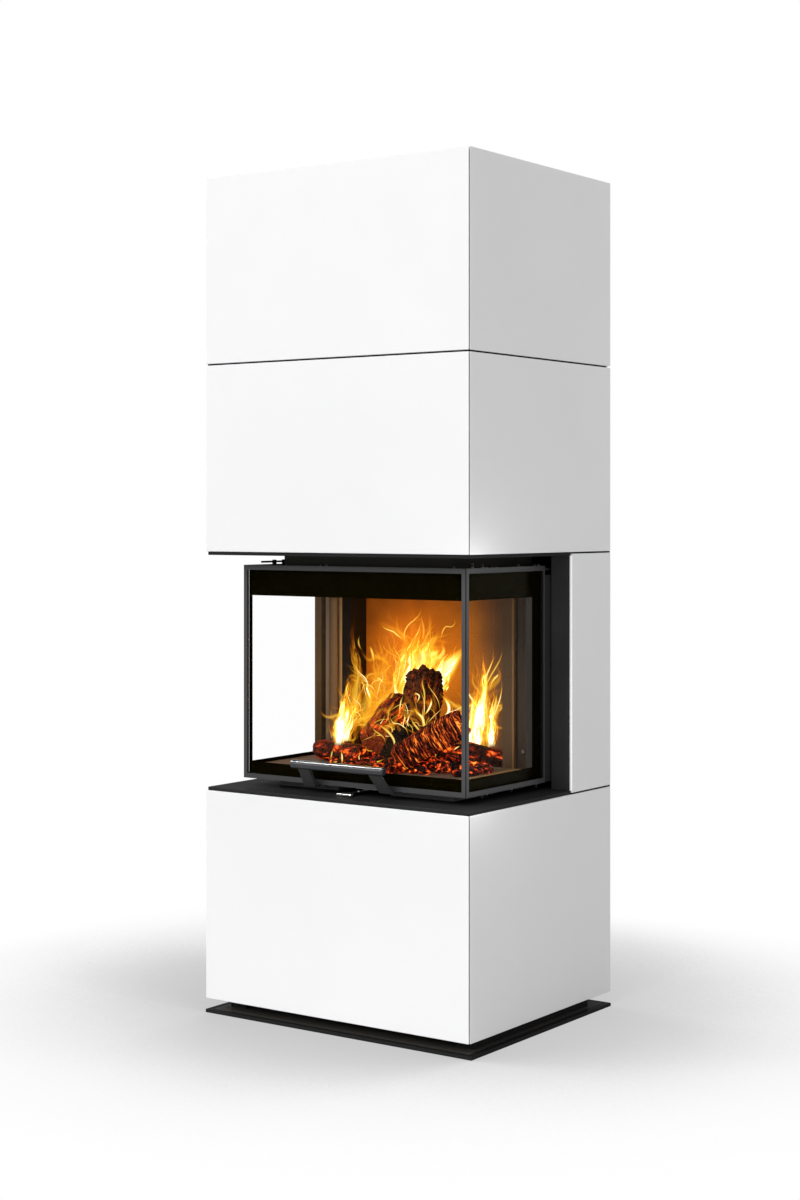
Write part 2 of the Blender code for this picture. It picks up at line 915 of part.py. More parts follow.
def make_cables():
    for word, side in SIDES:
        route = cable_route(side * x_fin)
        curve = bpy.data.curves.new("cable_" + word, "CURVE")
        curve.dimensions = "3D"
        curve.bevel_depth = cable_radius
        curve.bevel_resolution = 1
        curve.use_fill_caps = True
        line = curve.splines.new("POLY")
        line.points.add(len(route) - 1)
        for spot, place in zip(line.points, route):
            spot.co = (*place, 1.0)
        cable = bpy.data.objects.new("cable_" + word, curve)
        curve.materials.append(materials["raw_steel"])
        collections["parts"].objects.link(cable)


def make_weights():
    top = z_pulley - weight_rest_drop
    for word, side in SIDES:
        low, high = mirrored(
            side, (x_fin - weight_width / 2, y_cable_rear - weight_depth / 2, top - weight_height),
            (x_fin + weight_width / 2, y_cable_rear + weight_depth / 2, top),
        )
        weight = block("counterweight_" + word, low, high, "cast_weight")
        ride_on(axis_empty("weight_axis_" + word, (side * x_fin, y_cable_rear, top)), weight)


def make_air_control():
    half_tab = lever_tab_width / 2
    half_arm = lever_arm_width / 2
    tab_back = y_lever + lever_tab_depth
    neck = y_lever + lever_neck_start
    points = (
        (-half_tab, y_lever), (half_tab, y_lever), (half_tab, tab_back), (half_arm, neck),
        (half_arm, y_lever_tail), (-half_arm, y_lever_tail), (-half_arm, neck), (-half_tab, tab_back),
    )
    low = z_shelf_top + lever_rise
    high = low + lever_thick
    lever = plan_plate("air_lever", points, low, high, "polished_steel")
    bevel(lever, small_bevel)
    slider = block(
        "air_slider", (-slider_width / 2, y_slider_back - slider_depth, high + gap),
        (slider_width / 2, y_slider_back, high + gap + slider_thick), "raw_steel",
    )
    ride_on(axis_empty("air_slide_axis", (0.0, y_lever, low)), lever, slider)


def make_logs():
    """Split logs on the hearth, each dropped until its lowest corner is just above the floor."""
    hearth_depth = y_brick - y_box_front
    for name, length, thick, across, along, turn, lean in log_shares:
        shape = bmesh.new()
        radius = thick * side_brick_face / 2
        bmesh.ops.create_cone(
            shape, cap_ends=True, segments=log_sides, radius1=radius, radius2=radius,
            depth=length * side_brick_face,
        )
        bmesh.ops.bevel(shape, geom=shape.edges[:], offset=log_bevel, segments=1, affect="EDGES")
        lying = Matrix.Rotation(math.radians(90.0 - lean), 4, "X")
        turning = Matrix.Rotation(math.radians(turn), 4, "Z")
        bmesh.ops.transform(shape, matrix=turning @ lying, verts=shape.verts)
        lowest = min(vertex.co.z for vertex in shape.verts)
        mesh = bpy.data.meshes.new(name)
        shape.to_mesh(mesh)
        shape.free()
        place = (
            across * side_brick_face, y_box_front + along * hearth_depth, z_floor + gap - lowest
        )
        add_object(name, mesh, "firewood", place)


def main():
    clear_scene()
    make_collections()
    make_materials()
    make_base_plate()
    make_stands()
    make_panels()
    make_rear_sides()
    make_shelf_plate()
    make_underplate()
    make_joint_frame()
    make_top_cover()
    make_firebox_base()
    make_hearth()
    make_firebox_back()
    make_bricks()
    make_posts()
    make_seal_frame()
    make_baffle()
    make_hood()
    make_flue()
    make_rear_posts()
    make_pulleys()
    make_cables()
    make_weights()
    make_guides()
    make_door()
    make_air_control()
    make_logs()


main()
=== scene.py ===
"""Looks of the fireplace: light, camera, finishes, small fittings, firewood and fire.

Metres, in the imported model's frame: front towards -Y, +Z up, origin on the floor.
"""

import json
import math
import random

import bmesh
import bpy
import numpy
from mathutils import Matrix, Vector, noise


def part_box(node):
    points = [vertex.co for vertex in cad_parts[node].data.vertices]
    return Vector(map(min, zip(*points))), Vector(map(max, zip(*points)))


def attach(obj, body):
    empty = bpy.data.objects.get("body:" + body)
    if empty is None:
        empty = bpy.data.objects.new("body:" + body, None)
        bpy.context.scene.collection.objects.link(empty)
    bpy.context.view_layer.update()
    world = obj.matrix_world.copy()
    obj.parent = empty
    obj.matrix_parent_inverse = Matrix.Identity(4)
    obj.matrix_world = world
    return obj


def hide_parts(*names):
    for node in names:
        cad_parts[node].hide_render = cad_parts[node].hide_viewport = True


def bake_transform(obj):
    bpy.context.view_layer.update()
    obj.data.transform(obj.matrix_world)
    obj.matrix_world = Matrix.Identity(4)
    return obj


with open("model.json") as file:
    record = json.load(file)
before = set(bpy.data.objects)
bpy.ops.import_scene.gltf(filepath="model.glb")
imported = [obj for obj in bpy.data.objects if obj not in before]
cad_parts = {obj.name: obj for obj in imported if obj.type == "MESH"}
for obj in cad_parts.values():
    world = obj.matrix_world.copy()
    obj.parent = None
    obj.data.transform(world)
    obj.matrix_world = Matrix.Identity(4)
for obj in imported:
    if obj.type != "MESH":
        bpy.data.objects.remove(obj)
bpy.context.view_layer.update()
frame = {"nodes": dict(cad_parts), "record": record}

# The photograph's view
camera_place = (2.8169, -4.0121, 1.1781)
camera_turn = 35.338
camera_lens = 61.515
camera_drop = -0.0698

# What takes a picture point to the fire's plane: the picture's middle column, the row at the camera's
# height, the plane's distance from the camera, and how far right of its middle the camera looks
picture_height = 1200
film_height = 36.0
middle_column = 400
level_row = 516.2
fire_distance = 4.86138
fire_aside = 0.0062

# Light levels, where 1 shows a colour as it is written
sky_level = 0.618
front_sun = 1.33
front_sun_turn = (58.0, -24.0)
front_sun_spread = 35.0
edge_sun = 0.35
edge_sun_spread = 4.0
edge_sun_ways = ((-0.598, -0.736, 0.316), (-0.598, -0.095, 0.795))
side_glow_places = ((0.445, -0.310, 1.000), (0.445, -0.310, 0.640))
side_glow_power = 0.46
side_glow_size = 0.03
fire_colour = (1.0, 0.45, 0.06)
fire_lamp_size = 0.04
fire_lamps = (
    ((-0.085, 0.018, 0.850), 0.60), ((-0.130, -0.030, 0.740), 0.40), ((0.080, -0.020, 0.740), 0.10),
    ((0.020, -0.150, 0.650), 0.12),
)

# Floor, which shows white with a soft shadow round the base
floor_half = 9.0
floor_drop = 0.0005
shadow_reach = 1.0
shadow_lean = (0.150, -0.211, 0.966)
shadow_tones = (
    (0.00, 0.50), (0.69, 0.59), (0.78, 0.63), (0.85, 0.69), (0.87, 0.74), (0.89, 0.79), (0.92, 0.88),
    (0.95, 0.95), (0.98, 1.00),
)

# Sizes of fittings, where the bolts' places and heights are in millimetres
print_gap = 0.0002
print_thick = 0.0006
print_top = 0.990
print_bottom = 0.594
print_rear = 0.056
print_front = -0.214
rear_end = {-1: 0.0765, 1: 0.0915}
strip_front = 0.030
fin_start = 0.099
cable_radius = 0.0015
cable_bend_steps = 16
cable_run_steps = 32
cable_foot = 0.0003
fin_across = (0.3087, 0.3143)
fin_along = (0.1000, 0.1450)
fin_foot_top = 0.600
frame_skin = (0.3180, -0.2360)
# Where the back slabs' painted shade starts and where it is full, across X
clay_shade_span = (0.090, 0.172)
post_screw = (0.280, 0.628)
ring_steps = 24
packing_across = (0.3672, 0.3735)
packing_along = (0.128, 0.3077)
packing_heights = ((0.5283, 0.5317), (1.0909, 1.0943))
rear_packing = (0.355, 0.2955, 0.2992, 0.004)
rail_middle = 0.3115
rail_front = -0.2295
under_bolts = ((-163, 8), (-147, 6), (-124, 4), (-42, 7), (-16, 4), (4, 4), (68, 9), (79, 3))
top_bolts = ((-201, 11), (-160, 9), (-145, 4), (-124, 4), (-105, 4), (-9, 6), (59, 5), (79, 5))
foot_screws = (-0.073, 0.138)
front_bolts = (-0.091, -0.073, 0.282)
latch_span = (-0.176, -0.082)
latch_knobs = (-0.127, -0.090)
lever_screw = (0.0120, -0.2176)
lever_polish = -0.245
post_screw_head = (0.0042, 0.0026)
lever_screw_head = (0.0042, 0.0048)
under_bolt_radius = 0.0052
top_bolt_radius = 0.0044
foot_bolt = (0.0036, 0.0045)
front_bolt = (0.0030, 0.0050)
latch_radius = 0.0024
latch_lift = 0.0060
latch_knob = ((0.0046, 0.0105), (0.0052, 0.0090), (0.0052, 0.0))
edge_widths = {"white_panel": 0.0014, "chamotte": 0.0012}
# Half sizes of the painted light on the base plate under the casing
recess_light_half = (0.362, 0.292)
trim_across = (0.3706, 0.3750)
trim_thick = 0.0004
trim_clear = 0.0006

# Patterns that several finishes share: scale, detail and roughness of their grain
peel_grain = (900.0, 2.0)
spray_grain = (520.0, 2.0)
sand_grain = (260.0, 6.0, 0.7)
brush_grain = (60.0, 4.0, 0.7)

# Wood: the cells of its cracks, ridges and ragged ends, and how far they go into it
crack_cells = (62.0, 40.0, 40.0)
ridge_cells = (12.0, 130.0, 130.0)
ragged_cells = (0.0, 60.0, 60.0)
swell_scale = 14.0
swell_share = 0.16
ridge_share = 0.055
crack_share = 0.10
crack_gap = 0.16
ragged_length = 0.010
drawn_end = 0.012
sawn_rings = (0.80, 0.55, 0.28)
sawn_roughness = 0.0022
sawn_scale = 160.0

# Embers: how many, the middle and half lengths of their bed, their sizes and how high they heap
ember_count = 240
ember_middle = (0.050, -0.075)
ember_reach = (0.215, 0.125)
ember_sizes = (0.006, 0.015)
ember_heap = 0.040

# The fire stands in an upright plane through this spot, turned to the camera
hearth_middle = (0.0, -0.05, 0.0)

see_through_layers = 64
thread_depth = 0.035
front_depth = -0.085
body_depth = 0.075

# Licks before the logs glow more: their least heat, and the gain on what was read
front_heat = (0.45, 0.55)

# Wild licks: base and tip, each across and up, spread, depth behind and half width in millimetres,
# then heat and count
wild_groups = (
    (-128, 640, -92, 760, 10, 30, 7, 0.52, 16),
    (-122, 650, -80, 760, 10, 30, 2, 0.72, 8),
    (-90, 720, -78, 870, 10, 45, 3.2, 0.50, 8),
    (-68, 670, -40, 800, 26, 50, 9, 0.46, 30),
    (-50, 720, -20, 860, 26, 50, 7, 0.44, 26),
    (-55, 700, -25, 840, 28, 52, 1.8, 0.74, 26),
    (30, 760, 45, 920, 26, 60, 9, 0.50, 30),
    (30, 760, 45, 930, 26, 62, 2.6, 0.66, 26),
    (75, 790, 105, 870, 14, 55, 9, 0.62, 16),
    (192, 640, 210, 800, 14, 35, 9, 0.55, 18),
    (192, 640, 215, 820, 16, 35, 3, 0.72, 14),
    (-50, 640, -20, 740, 36, -50, 7.5, 0.42, 18),
    (-45, 650, -20, 740, 34, -52, 1.4, 0.82, 16),
    (62, 640, 55, 760, 26, -85, 6, 0.40, 14),
    (60, 650, 55, 760, 26, -87, 1.3, 0.82, 20),
    (-110, 600, -80, 640, 30, -50, 2, 0.80, 6),
)

# Soft glowing bodies: half width in millimetres, heat, and places across and up in millimetres
glow_bodies = (
    (34, 0.62, ((18, 730), (28, 790), (40, 850), (42, 925))),
    (34, 0.86, ((45, 770), (56, 815), (66, 855), (70, 905))),
    (32, 1.00, ((70, 740), (98, 786), (132, 828), (176, 878))),
    (22, 0.70, ((0, 735), (10, 790), (16, 850), (20, 900))),
    (17, 0.98, ((-142, 622), (-137, 665), (-126, 700), (-118, 745))),
    (30, 0.55, ((-128, 640), (-114, 700), (-106, 760), (-110, 825))),
    (24, 1.00, ((186, 605), (190, 660), (196, 710), (204, 765))),
    (34, 0.66, ((198, 620), (203, 690), (208, 760), (212, 850))),
    (50, 0.52, ((-66, 620), (-56, 680), (-48, 730), (-36, 800))),
    (18, 0.60, ((-150, 612), (-110, 616), (-60, 612), (-10, 628))),
    (48, 0.44, ((-62, 690), (-48, 750), (-30, 820), (-10, 890))),
    (30, 0.58, ((-104, 640), (-80, 700), (-66, 750), (-60, 800))),
)

# Licks drawn one by one, as they were read off the photo: half width in pixels, heat, and
# picture points that lie on them
back_licks = {
    "wisp_hook": (1.2, 0.70, ((363, 653), (359, 647), (358, 641), (360, 635))),
    "wisp_a": (2.0, 0.75, ((374, 667), (373, 658), (371, 650), (368, 645))),
    "wisp_b": (0.9, 0.50, ((383, 663), (377, 655), (372, 648))),
    "wisp_c": (1.1, 0.60, ((379, 681), (383, 675), (388, 669), (391, 666), (386, 665))),
    "left_hook": (1.7, 0.95, ((372.7, 704), (369, 697), (366.5, 689), (367.5, 683))),
    "left_loop": (1.0, 0.70, ((362, 694), (363, 688), (367, 683))),
    "left_curl": (1.3, 0.55, ((347, 680), (351, 677), (357, 678.5), (364, 682))),
    "left_streak": (1.7, 0.80, ((344, 742), (349, 731), (356, 720), (368, 709))),
    "left_core": (4.5, 1.00, ((344, 741), (345, 728), (347, 714), (349, 703))),
    "left_edge": (3.2, 0.85, ((341, 744), (340, 730), (343, 714), (346, 699))),
    "left_rise": (2.2, 0.65, ((349, 735), (352, 722), (355, 710), (354, 698), (357, 690))),
    "left_haze": (2.6, 0.45, ((346, 700), (350, 690), (347, 682), (352, 672))),
    "bright_hook": (1.3, 0.75, ((388, 686), (382, 683), (377, 679), (380, 685))),
    "mid_a": (1.1, 0.35, ((381, 642), (386, 639), (391, 637), (397, 632), (401, 629))),
    "mid_b": (1.1, 0.35, ((389, 607), (389, 615), (392, 621), (400, 627), (411, 632))),
    "mid_c": (0.9, 0.30, ((398, 648), (395, 641), (394, 636))),
    "tall_thread": (2.0, 0.60, ((425.5, 647), (423, 640), (424, 630), (422, 620), (421, 611))),
    "plume_a": (2.8, 0.50, ((411, 674), (408, 662), (410, 650), (413, 640), (415, 634))),
    "plume_b": (2.6, 0.80, ((396, 697), (400, 688), (403, 680), (407, 670), (411, 663))),
    "plume_c": (1.6, 0.60, ((401, 684), (398, 676), (397, 667), (402, 657), (406, 655))),
    "plume_d": (4.5, 0.80, ((421, 676), (424, 664), (423, 652), (427, 642))),
    "plume_e": (3.4, 0.70, ((431, 678), (434, 666), (437, 655), (436, 643))),
    "plume_f": (3.6, 0.65, ((414, 676), (417, 664), (415, 652), (419, 643))),
    "beam_a": (3.6, 0.95, ((440, 687), (445, 678), (452, 670), (460, 660))),
    "beam_b": (3.0, 0.75, ((438, 680), (445, 669), (453, 661), (461, 653))),
    "orange_b": (1.4, 0.55, ((376, 712), (382, 704), (388, 697), (392, 690))),
    "orange_c": (1.5, 0.60, ((383, 716), (388, 708), (391, 699), (396, 690), (398, 684))),
    "orange_d": (1.2, 0.55, ((372, 700), (378, 693), (381, 686))),
    "disc_left": (2.2, 0.40, ((353, 760), (352, 748), (356, 736), (363, 728))),
    "right_core": (5.5, 1.00, ((475, 747), (479, 732), (480, 716), (484, 700), (487, 682), (488, 664))),
    "right_left": (2.8, 0.90, ((471, 742), (472, 724), (473, 706), (476, 690))),
    "right_side": (2.2, 0.85, ((483, 744), (490, 729), (494, 715), (497, 700), (498, 690))),
    "right_mid": (2.6, 0.80, ((486, 740), (488, 722), (487, 705), (491, 690))),
    "right_tail": (1.3, 0.70, ((494, 759), (490, 750), (487, 742))),
}
front_licks = {
    "white_bow": (2.3, 1.00, ((437, 689), (444, 696), (448, 703), (447, 710), (440, 716), (431, 720))),
    "orange_a": (1.1, 0.70, ((399, 717), (400, 705), (401, 697), (404, 690))),
    "face_loop": (1.1, 0.80, ((412, 694), (415, 691), (419, 693), (417, 698), (413, 700))),
    "face_line": (1.3, 0.50, ((424, 671), (422, 680), (424, 690), (424, 700), (421, 708))),
    "face_drop": (1.6, 0.85, ((430, 692), (430.5, 700), (427, 708), (422, 713))),
    "front_a": (1.3, 0.60, ((410, 710), (412, 718), (418, 726), (425, 731), (433, 741))),
    "front_b": (1.9, 0.70, ((413, 700), (416, 708), (422, 715), (425, 725), (424, 735))),
    "low_bow": (1.7, 0.85, ((418, 752), (417, 758), (419, 765), (423, 770))),
    "low_loop": (1.3, 0.80, ((427, 752), (430, 749), (435, 750), (434, 756))),
    "disc_right": (1.9, 0.65, ((371, 719), (380, 722), (390, 730), (395, 740), (393, 752), (385, 758))),
    "disc_inner": (1.2, 0.45, ((371, 722), (376, 728), (384, 734), (387, 743))),
    "disc_low": (1.7, 0.75, ((355, 764), (365, 761), (377, 758), (388, 753))),
    "log_lick_a": (1.2, 0.80, ((343, 762), (343, 753), (342, 745))),
    "log_lick_b": (0.9, 0.60, ((331, 758), (333, 750), (334, 744))),
    "coal_a": (0.9, 0.80, ((451, 748), (456, 744), (460, 741))),
    "coal_b": (1.1, 0.80, ((423, 775), (428, 771), (431, 769))),
}

sides = {"left": -1, "right": 1}


def new_material(name):
    made = bpy.data.materials.new(name)
    made.use_nodes = True
    tree = made.node_tree
    return made, tree, tree.nodes["Principled BSDF"]


def plug(tree, node, values):
    """Gives a node's inputs their values, each a number, a colour or a socket to link."""
    for key, value in values.items():
        if isinstance(value, bpy.types.NodeSocket):
            tree.links.new(value, node.inputs[key])
        else:
            node.inputs[key].default_value = value


def add(tree, kind, values=(), **settings):
    """A shader node with its settings and the values of its inputs."""
    made = tree.nodes.new("ShaderNode" + kind)
    for key, value in settings.items():
        setattr(made, key, value)
    plug(tree, made, dict(values))
    return made


def object_place(tree):
    return add(tree, "TexCoord").outputs["Object"]


def by_axis(tree, place):
    """The parts of a place, by their letters."""
    return add(tree, "SeparateXYZ", {0: place}).outputs


def joined(tree, x, y, z):
    return add(tree, "CombineXYZ", {"X": x, "Y": y, "Z": z}).outputs[0]


def vector_calc(tree, operation, first, second):
    return add(tree, "VectorMath", {0: first, 1: second}, operation=operation).outputs[0]


def stretched(tree, place, scale):
    """The place with each direction scaled by itself, so that a pattern runs along one of them."""
    return vector_calc(tree, "MULTIPLY", place, scale)


def passage(tree, value, start, end, ease="LINEAR"):
    """How far a value has come from a start to an end, from 0 to 1."""
    limits = {"Value": value, "From Min": start, "From Max": end}
    return add(tree, "MapRange", limits, interpolation_type=ease).outputs[0]


def grain(tree, place, scale, detail=3.0, roughness=0.5, distortion=0.0):
    made = add(tree, "TexNoise", {
        "Vector": place, "Scale": scale, "Detail": detail, "Roughness": roughness,
        "Distortion": distortion,
    })
    return made.outputs["Fac"]


def ramp(tree, value, stops, ease="LINEAR"):
    """Colours, or grey levels, at places from 0 to 1."""
    made = add(tree, "ValToRGB", {"Fac": value})
    made.color_ramp.interpolation = ease
    elements = made.color_ramp.elements
    while len(elements) < len(stops):
        elements.new(1.0)
    for element, (place, tone) in zip(elements, stops):
        element.position = place
        element.color = (*tone, 1.0) if isinstance(tone, tuple) else (tone, tone, tone, 1.0)
    return made.outputs["Color"]


def calc(tree, operation, *values, clamp=False):
    return add(tree, "Math", dict(enumerate(values)), operation=operation, use_clamp=clamp).outputs[0]


def mixed(tree, factor, first, second):
    """Two colours mixed by a factor."""
    first, second = ((*tone, 1.0) if isinstance(tone, tuple) else tone for tone in (first, second))
    return add(tree, "Mix", {0: factor, 6: first, 7: second}, data_type="RGBA").outputs[2]


def relief(tree, height, strength, distance):
    return add(tree, "Bump", {"Height": height, "Strength": strength, "Distance": distance}).outputs[0]


def orange_peel(tree, place):
    """The fine bumps of a powder coat."""
    return relief(tree, grain(tree, place, *peel_grain), 0.18, 0.00015)


def looks_forwards(tree):
    """1 on the faces that look to the front."""
    normal = add(tree, "TexCoord").outputs["Normal"]
    return calc(tree, "LESS_THAN", by_axis(tree, normal)["Y"], -0.5)


def seen_ray(tree):
    """1 for the rays of the camera, of mirrors and through glass."""
    rays = add(tree, "LightPath").outputs
    seen = calc(tree, "ADD", rays["Is Camera Ray"], rays["Is Glossy Ray"])
    return calc(tree, "ADD", seen, rays["Is Transmission Ray"], clamp=True)


def show_mix(tree, factor, first, second):
    """The material shows a mix of two shaders."""
    both = add(tree, "MixShader", {0: factor, 1: first.outputs[0], 2: second.outputs[0]})
    tree.links.new(both.outputs[0], tree.nodes["Material Output"].inputs["Surface"])


def white_lacquer(name, dark_inside=False):
    """Lacquered panels: nearly even white with a faint cloud and a fine spray texture. The inner face
    of a back panel, which looks forwards, can stay black."""
    made, tree, shader = new_material(name)
    place = object_place(tree)
    cloud = grain(tree, place, 2.2)
    spray = grain(tree, place, *spray_grain)
    colour = ramp(tree, cloud, ((0.3, (0.875, 0.875, 0.880)), (0.7, (0.905, 0.905, 0.910))))
    if dark_inside:
        colour = mixed(tree, looks_forwards(tree), colour, (0.02, 0.02, 0.02))
    plug(tree, shader, {
        "Base Color": colour,
        "Roughness": ramp(tree, spray, ((0.3, 0.36), (0.7, 0.46))),
        "Normal": relief(tree, spray, 0.10, 0.0002),
        "Specular IOR Level": 0.35,
    })
    return made


def trim_lacquer_painted_highlight():
    """The lacquer on the panels' narrow front edges, with a faint glow that is a painted highlight."""
    made, tree, shader = new_material("trim_lacquer_painted_highlight")
    spray = grain(tree, object_place(tree), *spray_grain)
    plug(tree, shader, {
        "Base Color": (0.90, 0.90, 0.905, 1.0),
        "Roughness": ramp(tree, spray, ((0.3, 0.36), (0.7, 0.46))),
        # A faint glow: painted highlight on the edges
        "Emission Color": (1.0, 1.0, 1.0, 1.0),
        "Emission Strength": 0.45,
    })
    return made


def powder_coat(name, tone, roughness, shine=0.5, coat=0.0, rear=None):
    """Powder coated steel: a fine orange peel and slightly uneven gloss. A rear tone of painted shade starts
    at some Y.
    """
    made, tree, shader = new_material(name)
    place = object_place(tree)
    cloud = grain(tree, place, 9.0, 4.0)
    light = tuple(min(1.0, part * 1.18) for part in tone)
    colour = ramp(tree, cloud, ((0.35, tone), (0.7, light)))
    if rear is not None:
        start, rear_painted_shade = rear
        depth = by_axis(tree, place)["Y"]
        colour = mixed(tree, calc(tree, "GREATER_THAN", depth, start), colour, rear_painted_shade)
    plug(tree, shader, {
        "Base Color": colour,
        "Roughness": ramp(tree, cloud, ((0.3, roughness - 0.04), (0.7, roughness + 0.06))),
        "Normal": orange_peel(tree, place),
        "Specular IOR Level": shine,
        "Coat Weight": coat,
        "Coat Roughness": 0.3,
    })
    return made


def brushed_steel(name, tone, roughness, along):
    """Bare steel with fine brush lines along one direction."""
    made, tree, shader = new_material(name)
    lines = grain(tree, stretched(tree, object_place(tree), along), *brush_grain)
    dark = tuple(part * 0.82 for part in tone)
    plug(tree, shader, {
        "Base Color": ramp(tree, lines, ((0.3, dark), (0.7, tone))),
        "Roughness": ramp(tree, lines, ((0.25, roughness), (0.75, roughness + 0.14))),
        "Normal": relief(tree, lines, 0.08, 0.0001),
        "Metallic": 1.0,
    })
    return made


def cast_iron():
    made, tree, shader = new_material("cast_iron")
    skin = grain(tree, object_place(tree), 320.0, 6.0, 0.65)
    plug(tree, shader, {
        "Base Color": ramp(tree, skin, ((0.3, (0.045, 0.046, 0.050)), (0.75, (0.085, 0.084, 0.082)))),
        "Roughness": ramp(tree, skin, ((0.3, 0.55), (0.8, 0.80))),
        "Normal": relief(tree, skin, 0.5, 0.0006),
        "Metallic": 0.6,
    })
    return made


def seal_rope():
    """Glass fibre rope: slanted strands with a soft fuzz."""
    made, tree, shader = new_material("seal_rope")
    place = object_place(tree)
    turned = add(tree, "VectorRotate", {"Vector": place, "Angle": math.radians(40.0)})
    strand = add(tree, "TexWave", {"Vector": turned.outputs[0], "Scale": 190.0, "Distortion": 1.5})
    fuzz = grain(tree, place, 700.0, 4.0)
    height = calc(tree, "MULTIPLY_ADD", fuzz, 0.35, strand.outputs["Fac"])
    plug(tree, shader, {
        "Base Color": ramp(tree, height, ((0.2, (0.035, 0.034, 0.032)), (0.9, (0.11, 0.105, 0.10)))),
        "Roughness": 0.95,
        "Normal": relief(tree, height, 0.7, 0.001),
    })
    return made


def fire_clay(name, tone, soot, soot_from, soot_to, front=None, aside=None):
    """Chamotte: a fine sandy body with pores, and soot that grows between two heights. The faces that
    look forwards can have a tone of their own, and the body can pass into a darker tone across, which is
    painted shade."""
    made, tree, shader = new_material(name)
    place = object_place(tree)
    sand = grain(tree, place, *sand_grain)
    cloud = grain(tree, place, 7.0, 4.0)
    pores = add(tree, "TexVoronoi", {"Vector": place, "Scale": 170.0}).outputs["Distance"]
    dark = tuple(part * 0.78 for part in tone)
    body = ramp(tree, sand, ((0.3, dark), (0.7, tone)))
    height = by_axis(tree, place)["Z"]
    rise = passage(tree, height, soot_from, soot_to)
    sooted = calc(tree, "MULTIPLY", calc(tree, "ADD", rise, cloud), 0.62, clamp=True)
    stain = ramp(tree, sooted, ((0.35, 0.0), (0.85, 1.0)))
    # Painted shade: the body darkens across X, where the fire's light falls off
    if aside is not None:
        across = by_axis(tree, place)["X"]
        body = mixed(tree, passage(tree, across, *clay_shade_span), body, aside)
    colour = mixed(tree, stain, body, soot)
    if front is not None:
        colour = mixed(tree, looks_forwards(tree), colour, front)
    plug(tree, shader, {
        "Base Color": colour,
        "Roughness": 0.92,
        "Normal": relief(tree, calc(tree, "MULTIPLY_ADD", pores, 0.4, sand), 0.4, 0.0008),
        "Specular IOR Level": 0.2,
    })
    return made


def post_paint(name, level, groove_tone, flange_tone, step_tone):
    """The posts beside the bricks: black paint, with brown bands of painted firelight on the screwed face
    that looks at the fire.
    """
    made, tree, shader = new_material(name)
    place = object_place(tree)
    across = calc(tree, "ABSOLUTE", by_axis(tree, place)["X"])
    share = passage(tree, across, 0.24, 0.31)
    bands = ramp(tree, share, (
        (0.000, (0.0, 0.0, 0.0)), (0.214, groove_tone), (0.371, (0.210, 0.138, 0.068)),
        (0.686, (0.250, 0.190, 0.130)), (0.730, step_tone),
    ), "CONSTANT")
    flange = ramp(tree, share, ((0.000, flange_tone), (0.214, (0.0, 0.0, 0.0))), "CONSTANT")
    streak = grain(tree, stretched(tree, place, (90.0, 90.0, 2.0)), 1.0, 4.0)
    worn = mixed(tree, ramp(tree, streak, ((0.35, 0.0), (0.8, 0.35))), bands, (0.02, 0.016, 0.012))
    # Painted firelight: the bands scaled by level, which differs from post to post
    scaled = stretched(tree, worn, (level, level, level))
    plug(tree, shader, {
        "Base Color": vector_calc(tree, "ADD", scaled, flange),
        "Roughness": ramp(tree, streak, ((0.3, 0.42), (0.7, 0.60))),
        "Normal": relief(tree, streak, 0.1, 0.0002),
        "Specular IOR Level": 0.15,
    })
    return made


def door_coat(outer, lip, rear):
    """The door's frame: grey where it faces out, darkest on the lips that hold the glass, and dark on
    the guide fins."""
    made, tree, shader = new_material("door_coat")
    place = object_place(tree)
    parts = by_axis(tree, place)
    depth = parts["Y"]
    across = calc(tree, "ABSOLUTE", parts["X"])
    forwards = calc(tree, "LESS_THAN", depth, frame_skin[1])
    outwards = calc(tree, "GREATER_THAN", across, frame_skin[0])
    skin = calc(tree, "MAXIMUM", forwards, outwards)
    colour = mixed(tree, skin, lip, outer)
    plug(tree, shader, {
        "Base Color": mixed(tree, calc(tree, "GREATER_THAN", depth, fin_start), colour, rear),
        "Roughness": 0.38,
        "Normal": orange_peel(tree, place),
        "Specular IOR Level": calc(tree, "MULTIPLY", skin, 0.2),
    })
    return made


def lever_finish():
    """The air lever: a polished front tab on a black arm."""
    made, tree, shader = new_material("lever_finish")
    place = object_place(tree)
    depth = by_axis(tree, place)["Y"]
    black = calc(tree, "GREATER_THAN", depth, lever_polish)
    lines = grain(tree, stretched(tree, place, (20.0, 1.0, 1.0)), *brush_grain)
    plug(tree, shader, {
        "Base Color": mixed(tree, black, (0.88, 0.88, 0.88), (0.018, 0.018, 0.018)),
        "Roughness": ramp(tree, lines, ((0.25, 0.14), (0.75, 0.28))),
        "Metallic": calc(tree, "SUBTRACT", 1.0, black),
        "Specular IOR Level": 0.1,
    })
    return made


def hearth_clay():
    """The hearth floor: clay stained grey-brown by ash, and paler along its right edge."""
    made, tree, shader = new_material("hearth_clay")
    place = object_place(tree)
    sand = grain(tree, place, *sand_grain)
    cloud = grain(tree, place, 9.0, 5.0)
    across = by_axis(tree, place)["X"]
    pale = passage(tree, across, 0.250, 0.285)
    ash = ramp(tree, cloud, ((0.3, (0.100, 0.070, 0.046)), (0.7, (0.170, 0.122, 0.080))))
    plug(tree, shader, {
        "Base Color": mixed(tree, pale, ash, (0.62, 0.36, 0.14)),
        "Roughness": 0.92,
        "Normal": relief(tree, sand, 0.4, 0.0008),
        "Specular IOR Level": 0.1,
    })
    return made


def pane():
    """Clear ceramic glass: see-through with a weak mirror that grows at a slant."""
    made, tree, shader = new_material("clear_pane")
    clear = add(tree, "BsdfTransparent", {"Color": (1.0, 1.0, 1.0, 1.0)})
    mirror = add(tree, "BsdfGlossy", {"Color": (0.25, 0.25, 0.25, 1.0), "Roughness": 0.02})
    slant = add(tree, "Fresnel", {"IOR": 1.08})
    show_mix(tree, slant.outputs[0], clear, mirror)
    tree.nodes.remove(shader)
    return made


